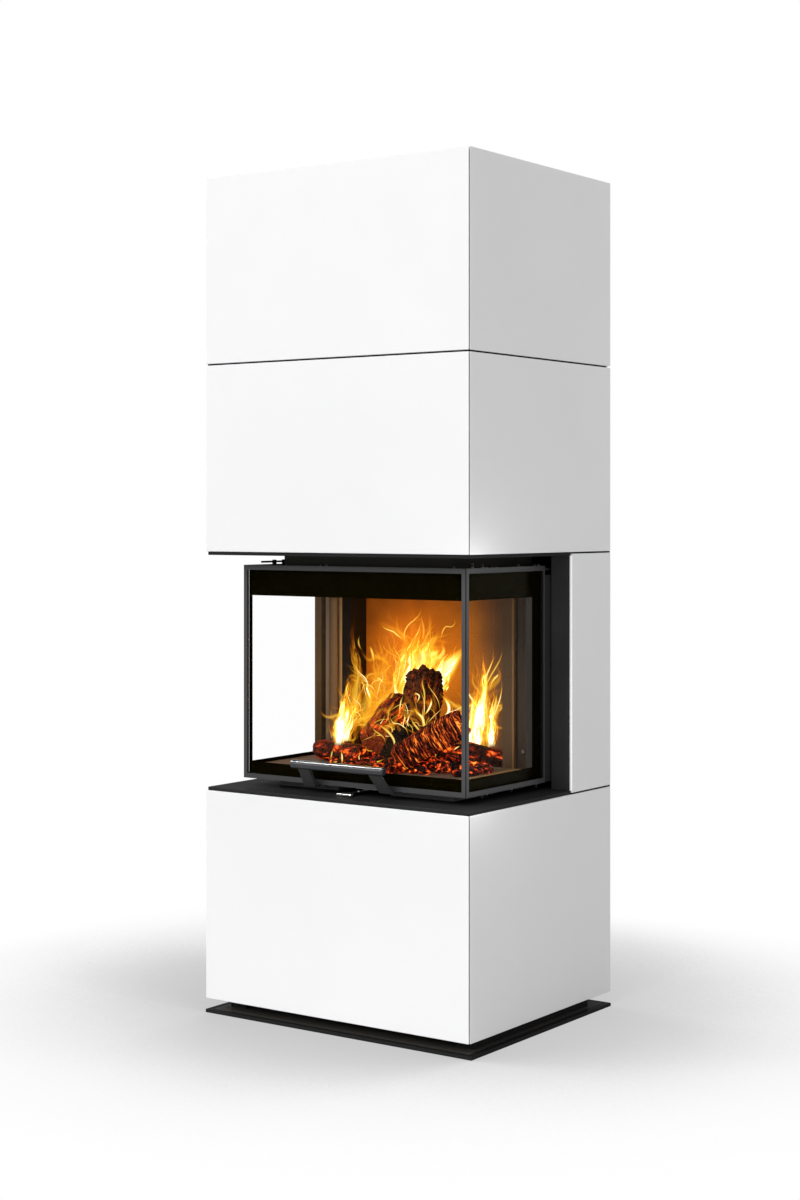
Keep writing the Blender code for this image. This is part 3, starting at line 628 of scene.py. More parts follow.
def base_coat():
    """The black base plate, whose middle under the casing is greyer: painted light in the recess."""
    made, tree, shader = new_material("base_coat")
    place = object_place(tree)
    parts = by_axis(tree, place)
    aside = calc(tree, "MULTIPLY", calc(tree, "ABSOLUTE", parts["X"]), 1.0 / recess_light_half[0])
    along = calc(tree, "MULTIPLY", calc(tree, "ABSOLUTE", parts["Y"]), 1.0 / recess_light_half[1])
    inside = calc(tree, "LESS_THAN", calc(tree, "MAXIMUM", aside, along), 1.0)
    plug(tree, shader, {
        "Base Color": mixed(tree, inside, (0.019, 0.019, 0.019), (0.075, 0.071, 0.062)),
        "Roughness": 0.45,
        "Normal": orange_peel(tree, place),
        "Specular IOR Level": 0.0,
        "Coat Weight": 0.08,
        "Coat Roughness": 0.3,
    })
    return made


def glass_print():
    """The black enamel on the panes, with a very fine dot texture."""
    made, tree, shader = new_material("glass_print")
    dots = add(tree, "TexVoronoi", {"Vector": object_place(tree), "Scale": 900.0}).outputs["Distance"]
    plug(tree, shader, {
        "Base Color": ramp(tree, dots, ((0.2, (0.0030, 0.0022, 0.0001)), (0.8, (0.0040, 0.0030, 0.0002)))),
        "Roughness": 0.8,
        "Specular IOR Level": 0.0,
        "Normal": relief(tree, dots, 0.1, 0.0001),
    })
    return made


def burning_wood(name, char, glow_level, glow_from, glow_to, glow_grain=(30.0, 95.0, 95.0), end=1.0):
    """Charred wood with dark cracks. Part of its grain glows, along the scales of glow_grain, and past
    end along the log the sawn face glows a dull red."""
    made, tree, shader = new_material(name)
    place = object_place(tree)
    fibres = grain(tree, stretched(tree, place, (14.0, 120.0, 120.0)), 1.0, 6.0, 0.6, 0.6)
    cells = stretched(tree, place, crack_cells)
    cells = vector_calc(tree, "ADD", cells, grain(tree, place, 60.0, 3.0))
    crack = add(tree, "TexVoronoi", {"Vector": cells, "Scale": 1.0}, feature="DISTANCE_TO_EDGE")
    open_crack = ramp(tree, crack.outputs["Distance"], ((0.0, 1.0), (0.10, 0.0)))
    region = ramp(tree, grain(tree, place, 14.0, 3.0, 0.6), ((0.35, 0.55), (0.60, 1.0)))
    streaks = grain(tree, stretched(tree, place, glow_grain), 1.0, 4.0, 0.65, 0.5)
    hot = passage(tree, streaks, glow_from, glow_to)
    ember = calc(tree, "MULTIPLY", hot, region, clamp=True)
    along = calc(tree, "ABSOLUTE", by_axis(tree, place)["X"])
    sawn = calc(tree, "GREATER_THAN", along, end)
    shine = ramp(tree, ember, (
        (0.02, (0.0, 0.0, 0.0)), (0.30, (0.110, 0.006, 0.001)), (0.62, (0.520, 0.075, 0.006)),
        (0.95, (1.0, 0.40, 0.05)),
    ))
    bark = ramp(tree, fibres, ((0.30, char), (0.72, tuple(part * 3.5 for part in char))))
    plug(tree, shader, {
        "Base Color": mixed(tree, open_crack, bark, (0.003, 0.002, 0.001)),
        "Roughness": 0.9,
        "Specular IOR Level": 0.1,
        "Emission Color": mixed(tree, sawn, shine, (0.032, 0.004, 0.001)),
        "Emission Strength": glow_level,
        "Normal": relief(tree, calc(tree, "SUBTRACT", fibres, open_crack), 0.8, 0.003),
    })
    made.cycles.emission_sampling = "NONE"
    return made


def thread_flame():
    """A thin lick of flame: pale in its middle, orange at its sides, clear at both ends."""
    made, tree, shader = new_material("thread_flame")
    parts = by_axis(tree, add(tree, "UVMap", uv_map="flame").outputs[0])
    across, rise = parts["X"], parts["Y"]
    heat = add(tree, "Attribute", attribute_name="warmth").outputs["Fac"]
    off_middle = calc(tree, "ABSOLUTE", calc(tree, "MULTIPLY_ADD", across, 2.0, -1.0))
    body = passage(tree, off_middle, 1.0, 0.15, "SMOOTHSTEP")
    near_end = calc(tree, "MINIMUM", rise, calc(tree, "SUBTRACT", 1.0, rise))
    ends = passage(tree, near_end, 0.0, 0.42, "SMOOTHSTEP")
    thick = calc(tree, "MULTIPLY", body, ends)
    level = calc(tree, "MULTIPLY", calc(tree, "MULTIPLY_ADD", thick, 0.75, 0.25), heat)
    colour = ramp(tree, level, (
        (0.05, (0.58, 0.105, 0.003)), (0.30, (0.88, 0.265, 0.008)), (0.52, (0.98, 0.480, 0.022)),
        (0.74, (1.0, 0.760, 0.110)), (0.95, (1.0, 0.970, 0.660)),
    ))
    glow = add(tree, "Emission", {"Color": colour, "Strength": calc(tree, "MULTIPLY_ADD", heat, 1.1, 0.7)})
    dense = calc(tree, "MULTIPLY_ADD", calc(tree, "POWER", heat, 1.8), 0.88, 0.05)
    share = calc(tree, "MULTIPLY", thick, dense, clamp=True)
    show_mix(tree, share, add(tree, "BsdfTransparent"), glow)
    tree.nodes.remove(shader)
    made.cycles.emission_sampling = "NONE"
    return made


def flame(name, strength, cool, density, peak=1.0):
    """Flame: white-yellow inside, orange outside, torn into streaks and clear at its edges and tip."""
    made, tree, shader = new_material(name)
    parts = by_axis(tree, add(tree, "UVMap", uv_map="flame").outputs[0])
    across, rise = parts["X"], parts["Y"]
    seed = add(tree, "Attribute", attribute_name="seed").outputs["Fac"]
    field = joined(tree, calc(tree, "MULTIPLY", across, 1.5), calc(tree, "MULTIPLY", rise, 2.6), seed)
    sway = calc(tree, "SUBTRACT", grain(tree, field, 1.6, 2.0), 0.5)
    shift = calc(tree, "MULTIPLY_ADD", calc(tree, "MULTIPLY", sway, rise), 1.3, across)
    thread = joined(tree, *(
        calc(tree, "MULTIPLY", part, scale) for part, scale in ((shift, 4.2), (rise, 1.7), (seed, 3.0))
    ))
    streak = grain(tree, thread, 1.7, 4.0, 0.55, 0.9)
    off_middle = calc(tree, "ABSOLUTE", calc(tree, "MULTIPLY_ADD", shift, 2.0, -1.0))
    edge = calc(tree, "SUBTRACT", 1.0, off_middle)
    tip = calc(tree, "SUBTRACT", 1.0, calc(tree, "POWER", rise, 1.4))
    body = calc(tree, "MULTIPLY", edge, tip)
    torn = calc(tree, "MULTIPLY_ADD", calc(tree, "SUBTRACT", streak, 0.5), 2.3, body)
    foot = passage(tree, rise, 0.0, 0.10)
    near_rim = calc(tree, "MINIMUM", across, calc(tree, "SUBTRACT", 1.0, across))
    rim = passage(tree, near_rim, 0.0, 0.14)
    end = passage(tree, calc(tree, "SUBTRACT", 1.0, rise), 0.0, 0.12)
    fade = calc(tree, "MULTIPLY", calc(tree, "MULTIPLY", foot, rim), end)
    thick = passage(tree, torn, 0.10, 0.85, "SMOOTHSTEP")
    heat = calc(tree, "MULTIPLY", thick, calc(tree, "MULTIPLY_ADD", rise, -cool * peak, peak))
    colour = ramp(tree, heat, (
        (0.00, (0.52, 0.075, 0.002)), (0.22, (0.94, 0.26, 0.008)), (0.48, (1.0, 0.56, 0.035)),
        (0.72, (1.0, 0.83, 0.18)), (0.95, (1.0, 0.96, 0.68)),
    ))
    glow = add(tree, "Emission", {"Color": colour, "Strength": strength})
    dense = calc(tree, "MULTIPLY", calc(tree, "MULTIPLY", thick, fade), density)
    show_mix(tree, dense, add(tree, "BsdfTransparent"), glow)
    tree.nodes.remove(shader)
    made.cycles.emission_sampling = "NONE"
    return made


def metres(value):
    """A number in millimetres, or a table of them, in metres."""
    return tuple(map(metres, value)) if isinstance(value, (tuple, list)) else value / 1000


def new_object(name, data):
    made = bpy.data.objects.new(name, data)
    bpy.context.scene.collection.objects.link(made)
    return made


def mesh_object(name, shape, material):
    """A new object from a filled bmesh."""
    mesh = bpy.data.meshes.new(name)
    shape.to_mesh(mesh)
    shape.free()
    mesh.materials.append(material)
    return new_object(name, mesh)


def new_mesh(name, shape, material):
    """A new object from a filled bmesh, with its faces turned outwards."""
    bmesh.ops.recalc_face_normals(shape, faces=shape.faces)
    return mesh_object(name, shape, material)


def piece(name, shape, material, body, place=None):
    """A new piece from a filled bmesh, riding on a body."""
    made = new_mesh(name, shape, material)
    if place is not None:
        made.matrix_world = place
    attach(made, body)
    return made


def add_box(shape, low, high):
    low, high = Vector(low), Vector(high)
    size = Matrix.Diagonal((*(high - low), 1.0))
    bmesh.ops.create_cube(shape, size=1.0, matrix=Matrix.Translation((low + high) / 2) @ size)


def add_bar(shape, side, across, along, heights):
    """A box on one side of the middle, from its reach outwards, its reach in depth and its heights."""
    left, right = sorted(side * edge for edge in across)
    add_box(shape, (left, along[0], heights[0]), (right, along[1], heights[1]))


def facing(direction):
    """A turn that takes +Z to a direction."""
    return Vector(direction).to_track_quat("Z", "Y").to_matrix().to_4x4()


def add_skin(shape, rings, inwards=False):
    """Smooth faces from each ring of points to the next one."""
    for first, second in zip(rings, rings[1:]):
        for near in range(len(first)):
            after = (near + 1) % len(first)
            corners = (first[near], first[after], second[after], second[near])
            shape.faces.new((corners[0], *corners[:0:-1]) if inwards else corners).smooth = True


def add_ends(shape, rings):
    shape.faces.new(rings[0])
    shape.faces.new(list(reversed(rings[-1])))


def add_turned(shape, profile, place, direction, steps=ring_steps, flats=0):
    """A turned shape from (radius, height) points from its axis outwards and down. With flats, the
    first ring that isn't on the axis is a socket with that many sides."""
    frame_matrix = Matrix.Translation(place) @ facing(direction)
    rings = []
    for order, (radius, height) in enumerate(profile):
        ring = []
        for step in range(steps):
            angle = 2 * math.pi * step / steps
            reach = radius
            if flats and order < 2:
                sector = 2 * math.pi / flats
                reach = radius * math.cos(sector / 2) / math.cos(angle % sector - sector / 2)
            spot = Vector((reach * math.cos(angle), reach * math.sin(angle), height))
            ring.append(shape.verts.new(frame_matrix @ spot))
        rings.append(ring)
    add_skin(shape, rings)
    add_ends(shape, rings)


def add_screw(shape, place, direction, radius, height):
    """A button head with a hexagon socket."""
    profile = (
        (radius * 0.50, height * 0.35), (radius * 0.50, height), (radius * 0.78, height * 0.92),
        (radius * 0.95, height * 0.55), (radius, 0.0),
    )
    add_turned(shape, profile, place, direction, flats=6)


def add_bolt(shape, place, direction, radius, height):
    """A hexagon head with a chamfer on a thin washer."""
    profile = (
        (radius * 0.72, height), (radius * 0.80, height * 0.92), (radius * 0.86, height * 0.25),
        (radius, height * 0.25), (radius, 0.0),
    )
    add_turned(shape, profile, place, direction, steps=12, flats=6)


def dress_nodes(finishes, special):
    """Gives each CAD node the finish of its material slot, or its own."""
    for part in frame["record"]["subparts"]:
        node = frame["nodes"].get(part["node"])
        if node is None:
            continue
        finish = special.get(part["node"], finishes[part["material_slot"]])
        if not node.material_slots:
            node.data.materials.append(finish)
        for socket in node.material_slots:
            socket.material = finish


def make_glass_prints(ink):
    """The enamel bands inside the front pane and the two side panes."""
    low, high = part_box("front_glass")
    shape = bmesh.new()
    near = high.y + print_gap
    far = near + print_thick
    inset = print_thick
    for bottom, top in ((low.z, print_bottom), (print_top, high.z)):
        add_box(shape, (low.x + inset, near, bottom), (high.x - inset, far, top))
    piece("front_print", shape, ink, "door")
    # The strips' grey differs from side to side as painted light, and the left rear band is lighter as
    # painted firelight
    strip_grey_and_light = {
        -1: powder_coat("left_strip_grey_painted_light", (0.105, 0.110, 0.122), 0.6, 0.0),
        1: powder_coat("right_strip_grey_painted_light", (0.072, 0.063, 0.056), 0.6, 0.0),
    }
    rear_ink_and_light = {-1: powder_coat("fire_lit_ink", (0.048, 0.048, 0.050), 0.6, 0.0), 1: ink}
    for word, side in sides.items():
        low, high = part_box(word + "_glass")
        near = min(abs(low.x), abs(high.x)) - print_gap
        across = (near, near - print_thick)
        shape = bmesh.new()
        for front, back, heights in (
            (low.y + inset, high.y - inset, (low.z, print_bottom)),
            (low.y + inset, high.y - inset, (print_top, high.z)),
            (low.y + inset, print_front, (print_bottom, print_top)),
        ):
            add_bar(shape, side, across, (front, back), heights)
        piece(word + "_print", shape, ink, "door")
        for name, along, finish in (
            ("_strip", (strip_front, print_rear), strip_grey_and_light[side]),
            ("_rear_band", (print_rear, rear_end[side]), rear_ink_and_light[side]),
        ):
            shape = bmesh.new()
            add_bar(shape, side, across, along, (print_bottom, print_top))
            piece(word + name, shape, finish, "door")


def make_post_screws(steel):
    across, height = post_screw
    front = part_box("firebox_post_right")[0].y
    shape = bmesh.new()
    for side in sides.values():
        add_screw(shape, (side * across, front, height), (0.0, -1.0, 0.0), *post_screw_head)
    piece("post_screws", shape, steel, "stove")


def make_packing(coat):
    """Black packing in the side joints above and below the firebox."""
    shape = bmesh.new()
    for side in sides.values():
        for heights in packing_heights:
            add_bar(shape, side, packing_across, packing_along, heights)
    half, front, back, height = rear_packing
    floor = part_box("shelf_plate")[1].z + print_gap
    add_box(shape, (-half, front, floor), (half, back, floor + height))
    piece("joint_packing", shape, coat, "stove")


def make_door_fittings(steel, coat):
    """Small bolts on the door's rails, and the latch rod on its left rail."""
    low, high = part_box("door_frame")
    shape = bmesh.new()
    for along, height in metres(under_bolts):
        add_bolt(shape, (rail_middle, along, low.z), (0.0, 0.0, -1.0), under_bolt_radius, height)
    for along, height in metres(top_bolts):
        add_bolt(shape, (rail_middle, along, high.z), (0.0, 0.0, 1.0), top_bolt_radius, height)
    for across in foot_screws:
        add_bolt(shape, (across, rail_front, low.z), (0.0, 0.0, -1.0), *foot_bolt)
    for across in front_bolts:
        add_bolt(shape, (across, rail_front, high.z), (0.0, 0.0, 1.0), *front_bolt)
    piece("door_bolts", shape, steel, "door")
    shape = bmesh.new()
    start, end = latch_span
    rod = ((latch_radius, end - start), (latch_radius, 0.0))
    add_turned(shape, rod, (-rail_middle, start, high.z + latch_lift), (0.0, 1.0, 0.0), steps=12)
    for along in latch_knobs:
        add_turned(shape, latch_knob, (-rail_middle, along, high.z), (0.0, 0.0, 1.0), steps=16)
    piece("latch_rod", shape, coat, "door")


def add_tube(shape, route, radius, corners=8):
    """A round tube along points that lie in one plane across X."""
    rings = []
    for number, spot in enumerate(route):
        ahead = route[min(number + 1, len(route) - 1)] - route[max(number - 1, 0)]
        out = Vector((0.0, -ahead.z, ahead.y)).normalized()
        ring = []
        for corner in range(corners):
            angle = 2 * math.pi * corner / corners
            push = Vector((math.cos(angle), 0.0, 0.0)) + out * math.sin(angle)
            ring.append(shape.verts.new(spot + push * radius))
        rings.append(ring)
    add_skin(shape, rings, True)
    add_ends(shape, rings)


def straight_run(start, end, steps):
    return [start.lerp(end, step / steps) for step in range(steps + 1)]


def make_cables(steel):
    """The lift cables: a bend over the top, and straight runs down to the door and to the weight."""
    for word in sides:
        node = "cable_" + word
        weight = "counterweight_" + word
        low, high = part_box(node)
        across = (low.x + high.x) / 2
        front = low.y + cable_radius
        rear = high.y - cable_radius
        bend = (rear - front) / 2
        axle = Vector((across, front + bend, high.z - cable_radius - bend))
        arc = []
        for step in range(cable_bend_steps + 1):
            angle = math.pi * step / cable_bend_steps
            arc.append(axle + Vector((0.0, -math.cos(angle), math.sin(angle))) * bend)
        shape = bmesh.new()
        add_tube(shape, arc, cable_radius)
        over = piece(node + "_over", shape, steel, "stove")
        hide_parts(node)
        for name, start, foot, body in (
            ("_front", arc[0], low.z, "door"), ("_rear", arc[-1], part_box(weight)[1].z + cable_foot, weight),
        ):
            end = Vector((start.x, start.y, foot))
            shape = bmesh.new()
            add_tube(shape, straight_run(start, end, cable_run_steps), cable_radius)
            run = new_mesh(node + name, shape, steel)
            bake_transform(run)


def make_fin_feet(coat):
    """The lower ends of the door's two guide fins."""
    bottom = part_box("door_frame")[0].z + print_gap
    shape = bmesh.new()
    for side in sides.values():
        add_bar(shape, side, fin_across, fin_along, (bottom, fin_foot_top))
    piece("fin_feet", shape, coat, "door")


def make_edge_trims(lacquer):
    """The pale front edges of the rear side panels, which show as a line beside the black covers. Their
    lacquer glows faintly as a painted highlight.
    """
    shape = bmesh.new()
    for word, side in sides.items():
        low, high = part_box("black_cover_" + word)
        heights = (low.z + trim_clear, high.z - trim_clear)
        add_bar(shape, side, trim_across, (low.y - trim_thick, low.y), heights)
    piece("edge_trims", shape, lacquer, "stove")


def make_lever_screw(steel):
    across, along = lever_screw
    shape = bmesh.new()
    add_screw(shape, (across, along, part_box("air_lever")[1].z), (0.0, 0.0, 1.0), *lever_screw_head)
    piece("lever_screw", shape, steel, "air_control")


def fire_place(across, rise, depth=0.0):
    """A spot in the fire's plane, or some way behind it."""
    turn = math.radians(camera_turn)
    right = Vector((math.cos(turn), math.sin(turn), 0.0))
    away = Vector((-math.sin(turn), math.cos(turn), 0.0))
    return Vector(hearth_middle) + right * across + away * depth + Vector((0.0, 0.0, rise))


def fire_way(across, rise, depth):
    return fire_place(across, rise, depth) - Vector(hearth_middle)


def log_axis(node):
    """Middle, direction, length and radius of a CAD log."""
    spots = numpy.array([vertex.co for vertex in frame["nodes"][node].data.vertices])
    middle = (spots.max(axis=0) + spots.min(axis=0)) / 2
    spread = spots - spots.mean(axis=0)
    axis = numpy.linalg.svd(spread, full_matrices=False)[2][0]
    along = spread @ axis
    radius = numpy.linalg.norm(spread - numpy.outer(along, axis), axis=1).max()
    return Vector(middle), Vector(axis), float(along.max() - along.min()), float(radius)


def split_log(
    name, middle, axis, length, radius, flats, spin, seed, material, steps=96, turns=72, keen=0.55
):
    """A split log: flat sides with rounded edges, ragged ends, ridges and cracks across the grain."""
    start = math.radians(spin)
    shape = bmesh.new()
    offset = Vector((seed * 3.7, seed * 1.9, seed * 5.3))
    rings = []
    for step in range(steps + 1):
        share = step / steps
        cap = min(share, 1.0 - share) * length
        ring = []
        for turn in range(turns):
            angle = 2 * math.pi * turn / turns
            sector = 2 * math.pi / flats
            local = (angle + start) % sector - sector / 2
            flat = math.cos(sector / 2) / math.cos(local)
            reach = radius * (1.0 - keen + keen * flat)
            spot = Vector(((share - 0.5) * length, reach * math.cos(angle), reach * math.sin(angle)))
            swell = noise.noise(spot * swell_scale + offset)
            ridge = noise.noise(spot * Vector(ridge_cells) + offset)
            near = noise.voronoi(spot * Vector(crack_cells) + offset)[0]
            crack = max(0.0, 1.0 - (near[1] - near[0]) / crack_gap)
            scale = 1.0 + swell_share * swell + ridge_share * ridge - crack_share * crack * crack
            scale *= min(1.0, 0.80 + cap / drawn_end * 0.2)
            ragged = ragged_length * noise.noise(spot * Vector(ragged_cells) + offset)
            ring.append(shape.verts.new(
                (spot.x * (1.0 + ragged / length * 2), spot.y * scale, spot.z * scale)
            ))
        rings.append(ring)
    add_skin(shape, rings)
    for ring, order in ((rings[0], -1), (rings[-1], 1)):
        close_end(shape, ring, order, offset)
    turn = Vector(axis).to_track_quat("X", "Z").to_matrix().to_4x4()
    return piece(name, shape, material, "stove", Matrix.Translation(middle) @ turn)


def close_end(shape, ring, order, offset):
    """The end grain: rings drawn in to the middle, with a rough sawn face."""
    middle = sum((vertex.co for vertex in ring), Vector()) / len(ring)
    inner = ring
    for share in sawn_rings:
        drawn = []
        for vertex in ring:
            spot = middle.lerp(vertex.co, share)
            spot.x += sawn_roughness * noise.noise(spot * sawn_scale + offset)
            drawn.append(shape.verts.new(spot))
        for turn in range(len(ring)):
            after = (turn + 1) % len(ring)
            corners = (inner[turn], inner[after], drawn[after], drawn[turn])
            shape.faces.new(corners if order > 0 else tuple(reversed(corners)))
        inner = drawn
    shape.faces.new(inner if order > 0 else list(reversed(inner)))


def make_logs():
    """Split logs in place of the CAD's, and four more that the photo shows round them. A row of the
    first has flats, turn in degrees, seed, finish, sharpness of the edges, and width beside the CAD's.
    A row of the second has middle, direction, length, radius, flats, turn, seed and finish."""
    chunk = burning_wood("chunk_wood", (0.034, 0.0100, 0.0030), 1.4, 0.54, 0.80)
    lined = burning_wood("lined_wood", (0.008, 0.0022, 0.0009), 1.5, 0.47, 0.66, (230.0, 30.0, 30.0))
    black = burning_wood("black_wood", (0.003, 0.0018, 0.0010), 0.9, 0.60, 0.80)
    warm = burning_wood("warm_wood", (0.030, 0.0070, 0.0022), 3.2, 0.50, 0.76, (24.0, 60.0, 60.0))
    sawn = burning_wood("sawn_wood", (0.040, 0.0100, 0.0030), 3.0, 0.48, 0.72, (22.0, 90.0, 90.0), 0.071)
    for node, flats, spin, seed, material, keen, wide in (
        ("log_left", 5, 85.7, 3, warm, 0.55, 0.96), ("log_center", 4, 80.0, 23, chunk, 1.0, 1.04),
        ("log_right", 4, 116.6, 7, lined, 0.60, 0.96),
    ):
        middle, axis, length, radius = log_axis(node)
        made = split_log(
            node + "_wood", middle, axis, length, radius * wide, flats, spin, seed, material, keen=keen
        )
        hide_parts(node)
    extra = (
        ("log_rear_wood", (-0.018, 0.682, 0.030), (0.46, 0.52, 0.72), 0.150, 0.048, 11, 59.4, 21, sawn),
        ("log_front_wood", (0.008, 0.622, -0.050), (0.46, 0.80, 0.10), 0.120, 0.042, 5, 197.3, 29, black),
        ("log_far_wood", (0.205, 0.606, 0.020), (0.80, -0.22, 0.20), 0.110, 0.027, 5, 4.4, 31, warm),
        ("log_low_wood", (0.105, 0.616, 0.000), (0.90, -0.10, 0.10), 0.120, 0.026, 5, 245.5, 37, warm),
    )
    for name, middle, way, length, radius, flats, spin, seed, material in extra:
        made = split_log(
            name, fire_place(*middle), fire_way(*way), length, radius, flats, spin, seed, material, 64, 48
        )


def make_embers(material):
    """A bed of broken coals on the hearth, higher in the middle."""
    draw = random.Random(5)
    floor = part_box("hearth_floor")[1].z
    shape = bmesh.new()
    for _ in range(ember_count):
        angle = draw.uniform(0.0, 2 * math.pi)
        reach = math.sqrt(draw.random())
        x = ember_middle[0] + ember_reach[0] * reach * math.cos(angle)
        y = ember_middle[1] + ember_reach[1] * reach * math.sin(angle)
        size = draw.uniform(*ember_sizes)
        lift = (1.0 - reach) * ember_heap * draw.random()
        stretch = Matrix.Diagonal((draw.uniform(0.8, 1.9), draw.uniform(0.7, 1.1), 0.7, 1.0))
        turn = Matrix.Rotation(draw.uniform(0.0, math.pi), 4, "Z")
        place = Matrix.Translation((x, y, floor + size * 0.55 + lift)) @ turn @ stretch
        made = bmesh.ops.create_icosphere(shape, subdivisions=2, radius=size, matrix=place)["verts"]
        for vertex in made:
            push = 0.35 * size * noise.noise(vertex.co * 130.0)
            vertex.co += (vertex.co - place.translation).normalized() * push
            vertex.co.z = max(vertex.co.z, floor + 0.0004)
    piece("ember_bed", shape, material, "stove")


def ribbon_shape(layer):
    """An empty shape, its UV map, and a layer for one number at each point."""
    shape = bmesh.new()
    return shape, shape.loops.layers.uv.new("flame"), shape.verts.layers.float.new(layer)


def add_ribbon(shape, uv, grid):
    """Smooth faces on rows of points, with places across and along in the UV map."""
    tall, wide = len(grid) - 1, len(grid[0]) - 1
    for row in range(tall):
        for column in range(wide):
            spots = ((row, column), (row, column + 1), (row + 1, column + 1), (row + 1, column))
            face = shape.faces.new([grid[r][c] for r, c in spots])
            face.smooth = True
            for loop, (r, c) in zip(face.loops, spots):
                loop[uv].uv = (c / wide, r / tall)


def add_tongue(shape, uv, seed_layer, base, height, width, lean, curl, turn, seed):
    """One flame: a tall curved ribbon, wide low down and drawn to a point, that sways as it rises."""
    wide, tall = 9, 26
    turned = Matrix.Rotation(math.radians(turn), 3, "Z")
    grid = []
    for row in range(tall + 1):
        rise = row / tall
        sway = curl * math.sin(rise * 5.2 + seed) * rise
        half = width * (0.30 + 0.70 * math.sin(math.pi * min(1.0, rise * 1.7 + 0.12)) ** 0.8)
        half = width * ((1.0 - rise) ** 0.75) if rise > 0.35 else max(half, width * 0.35)
        line = []
        for column in range(wide + 1):
            across = column / wide * 2.0 - 1.0
            bow = (1.0 - across * across) * width * 0.35
            local = Vector((across * half + sway, -bow, 0.0))
            spot = Vector(base) + turned @ local
            spot += Vector((lean[0] * rise ** 1.3, lean[1] * rise ** 1.3, height * rise))
            vertex = shape.verts.new(spot)
            vertex[seed_layer] = seed
            line.append(vertex)
        grid.append(line)
    add_ribbon(shape, uv, grid)


def make_flames(name, tongues, material):
    shape, uv, seed_layer = ribbon_shape("seed")
    for number, (*sizes, turn) in enumerate(tongues):
        across, rise, depth, height, width, lean, curl = metres(sizes)
        base = fire_place(across, rise, depth)
        sway = fire_way(lean, 0.0, 0.0)
        seed = number * 2.37 + len(name)
        add_tongue(shape, uv, seed_layer, base, height, width, sway, curl, camera_turn + turn, seed)
    piece(name, shape, material, "stove")


def smooth_route(points, steps):
    """A smooth run through points, each of them met."""
    spots = [Vector(point) for point in points]
    spots = [spots[0] * 2 - spots[1]] + spots + [spots[-1] * 2 - spots[-2]]
    route = []
    for first, start, end, last in zip(spots, spots[1:], spots[2:], spots[3:]):
        for step in range(steps):
            t = step / steps
            bend = (first * 2 - start * 5 + end * 4 - last) * t * t
            bend += (start * 3 - first - end * 3 + last) * t * t * t
            route.append((start * 2 + (end - first) * t + bend) / 2)
    route.append(spots[-2])
    return route


def add_thread(shape, uv, heat_layer, points, width, heat, depth, columns=4):
    """A thin ribbon along points of the fire's plane, drawn in at both ends and bowed in depth."""
    route = smooth_route(points, 6)
    count = len(route) - 1
    grid = []
    for number, spot in enumerate(route):
        share = number / count
        ahead = route[min(number + 1, count)] - route[max(number - 1, 0)]
        normal = Vector((-ahead.y, ahead.x)).normalized()
        half = width * (0.08 + 0.92 * math.sin(math.pi * share ** 0.8) ** 1.3)
        line = []
        for column in range(columns + 1):
            aside = column / columns * 2.0 - 1.0
            flat = spot + normal * (half * aside)
            bow = depth + 0.012 * math.sin(share * 4.0) - half * 0.6 * (1.0 - aside * aside)
            vertex = shape.verts.new(fire_place(flat.x, flat.y, bow))
            vertex[heat_layer] = heat
            line.append(vertex)
        grid.append(line)
    add_ribbon(shape, uv, grid)


def wild_thread(draw, base, tip, spread):
    """Points that rise from near a base towards a tip and curl more as they go."""
    start = Vector((base[0] + draw.gauss(0.0, spread), base[1] + draw.gauss(0.0, spread * 0.5)))
    rise = Vector(tip) - Vector(base)
    angle = math.atan2(rise.y, rise.x) + draw.gauss(0.0, 0.20)
    steps = draw.randint(5, 8)
    stride = rise.length * draw.uniform(0.45, 0.95) / steps
    curl = draw.gauss(0.0, 0.42)
    start += rise * draw.uniform(0.0, 0.55)
    points = [tuple(start)]
    for step in range(steps):
        angle += curl * (0.4 + step / steps) + draw.gauss(0.0, 0.22)
        start = start + Vector((math.cos(angle), math.sin(angle))) * stride
        points.append(tuple(start))
        if step == steps // 2:
            curl = -curl * draw.uniform(0.4, 1.3)
    return points


def make_threads(name, threads, material):
    shape, uv, heat_layer = ribbon_shape("warmth")
    for width, heat, points, depth in threads:
        add_thread(shape, uv, heat_layer, points, width, heat, depth)
    piece(name, shape, material, "stove")


def traced_threads(licks, depth, least=0.0, gain=1.0):
    """Licks at their picture points, to the millimetre: half width, heat, places and depth."""
    scale = fire_distance / (camera_lens / film_height * picture_height)
    threads = []
    for half, heat, spots in licks.values():
        points = [
            (round((x - middle_column) * scale + fire_aside, 3),
             round(camera_place[2] - (y - level_row) * scale, 3))
            for x, y in spots
        ]
        threads.append((round(half * scale, 4), round(least + gain * heat, 2), points, depth))
    return threads


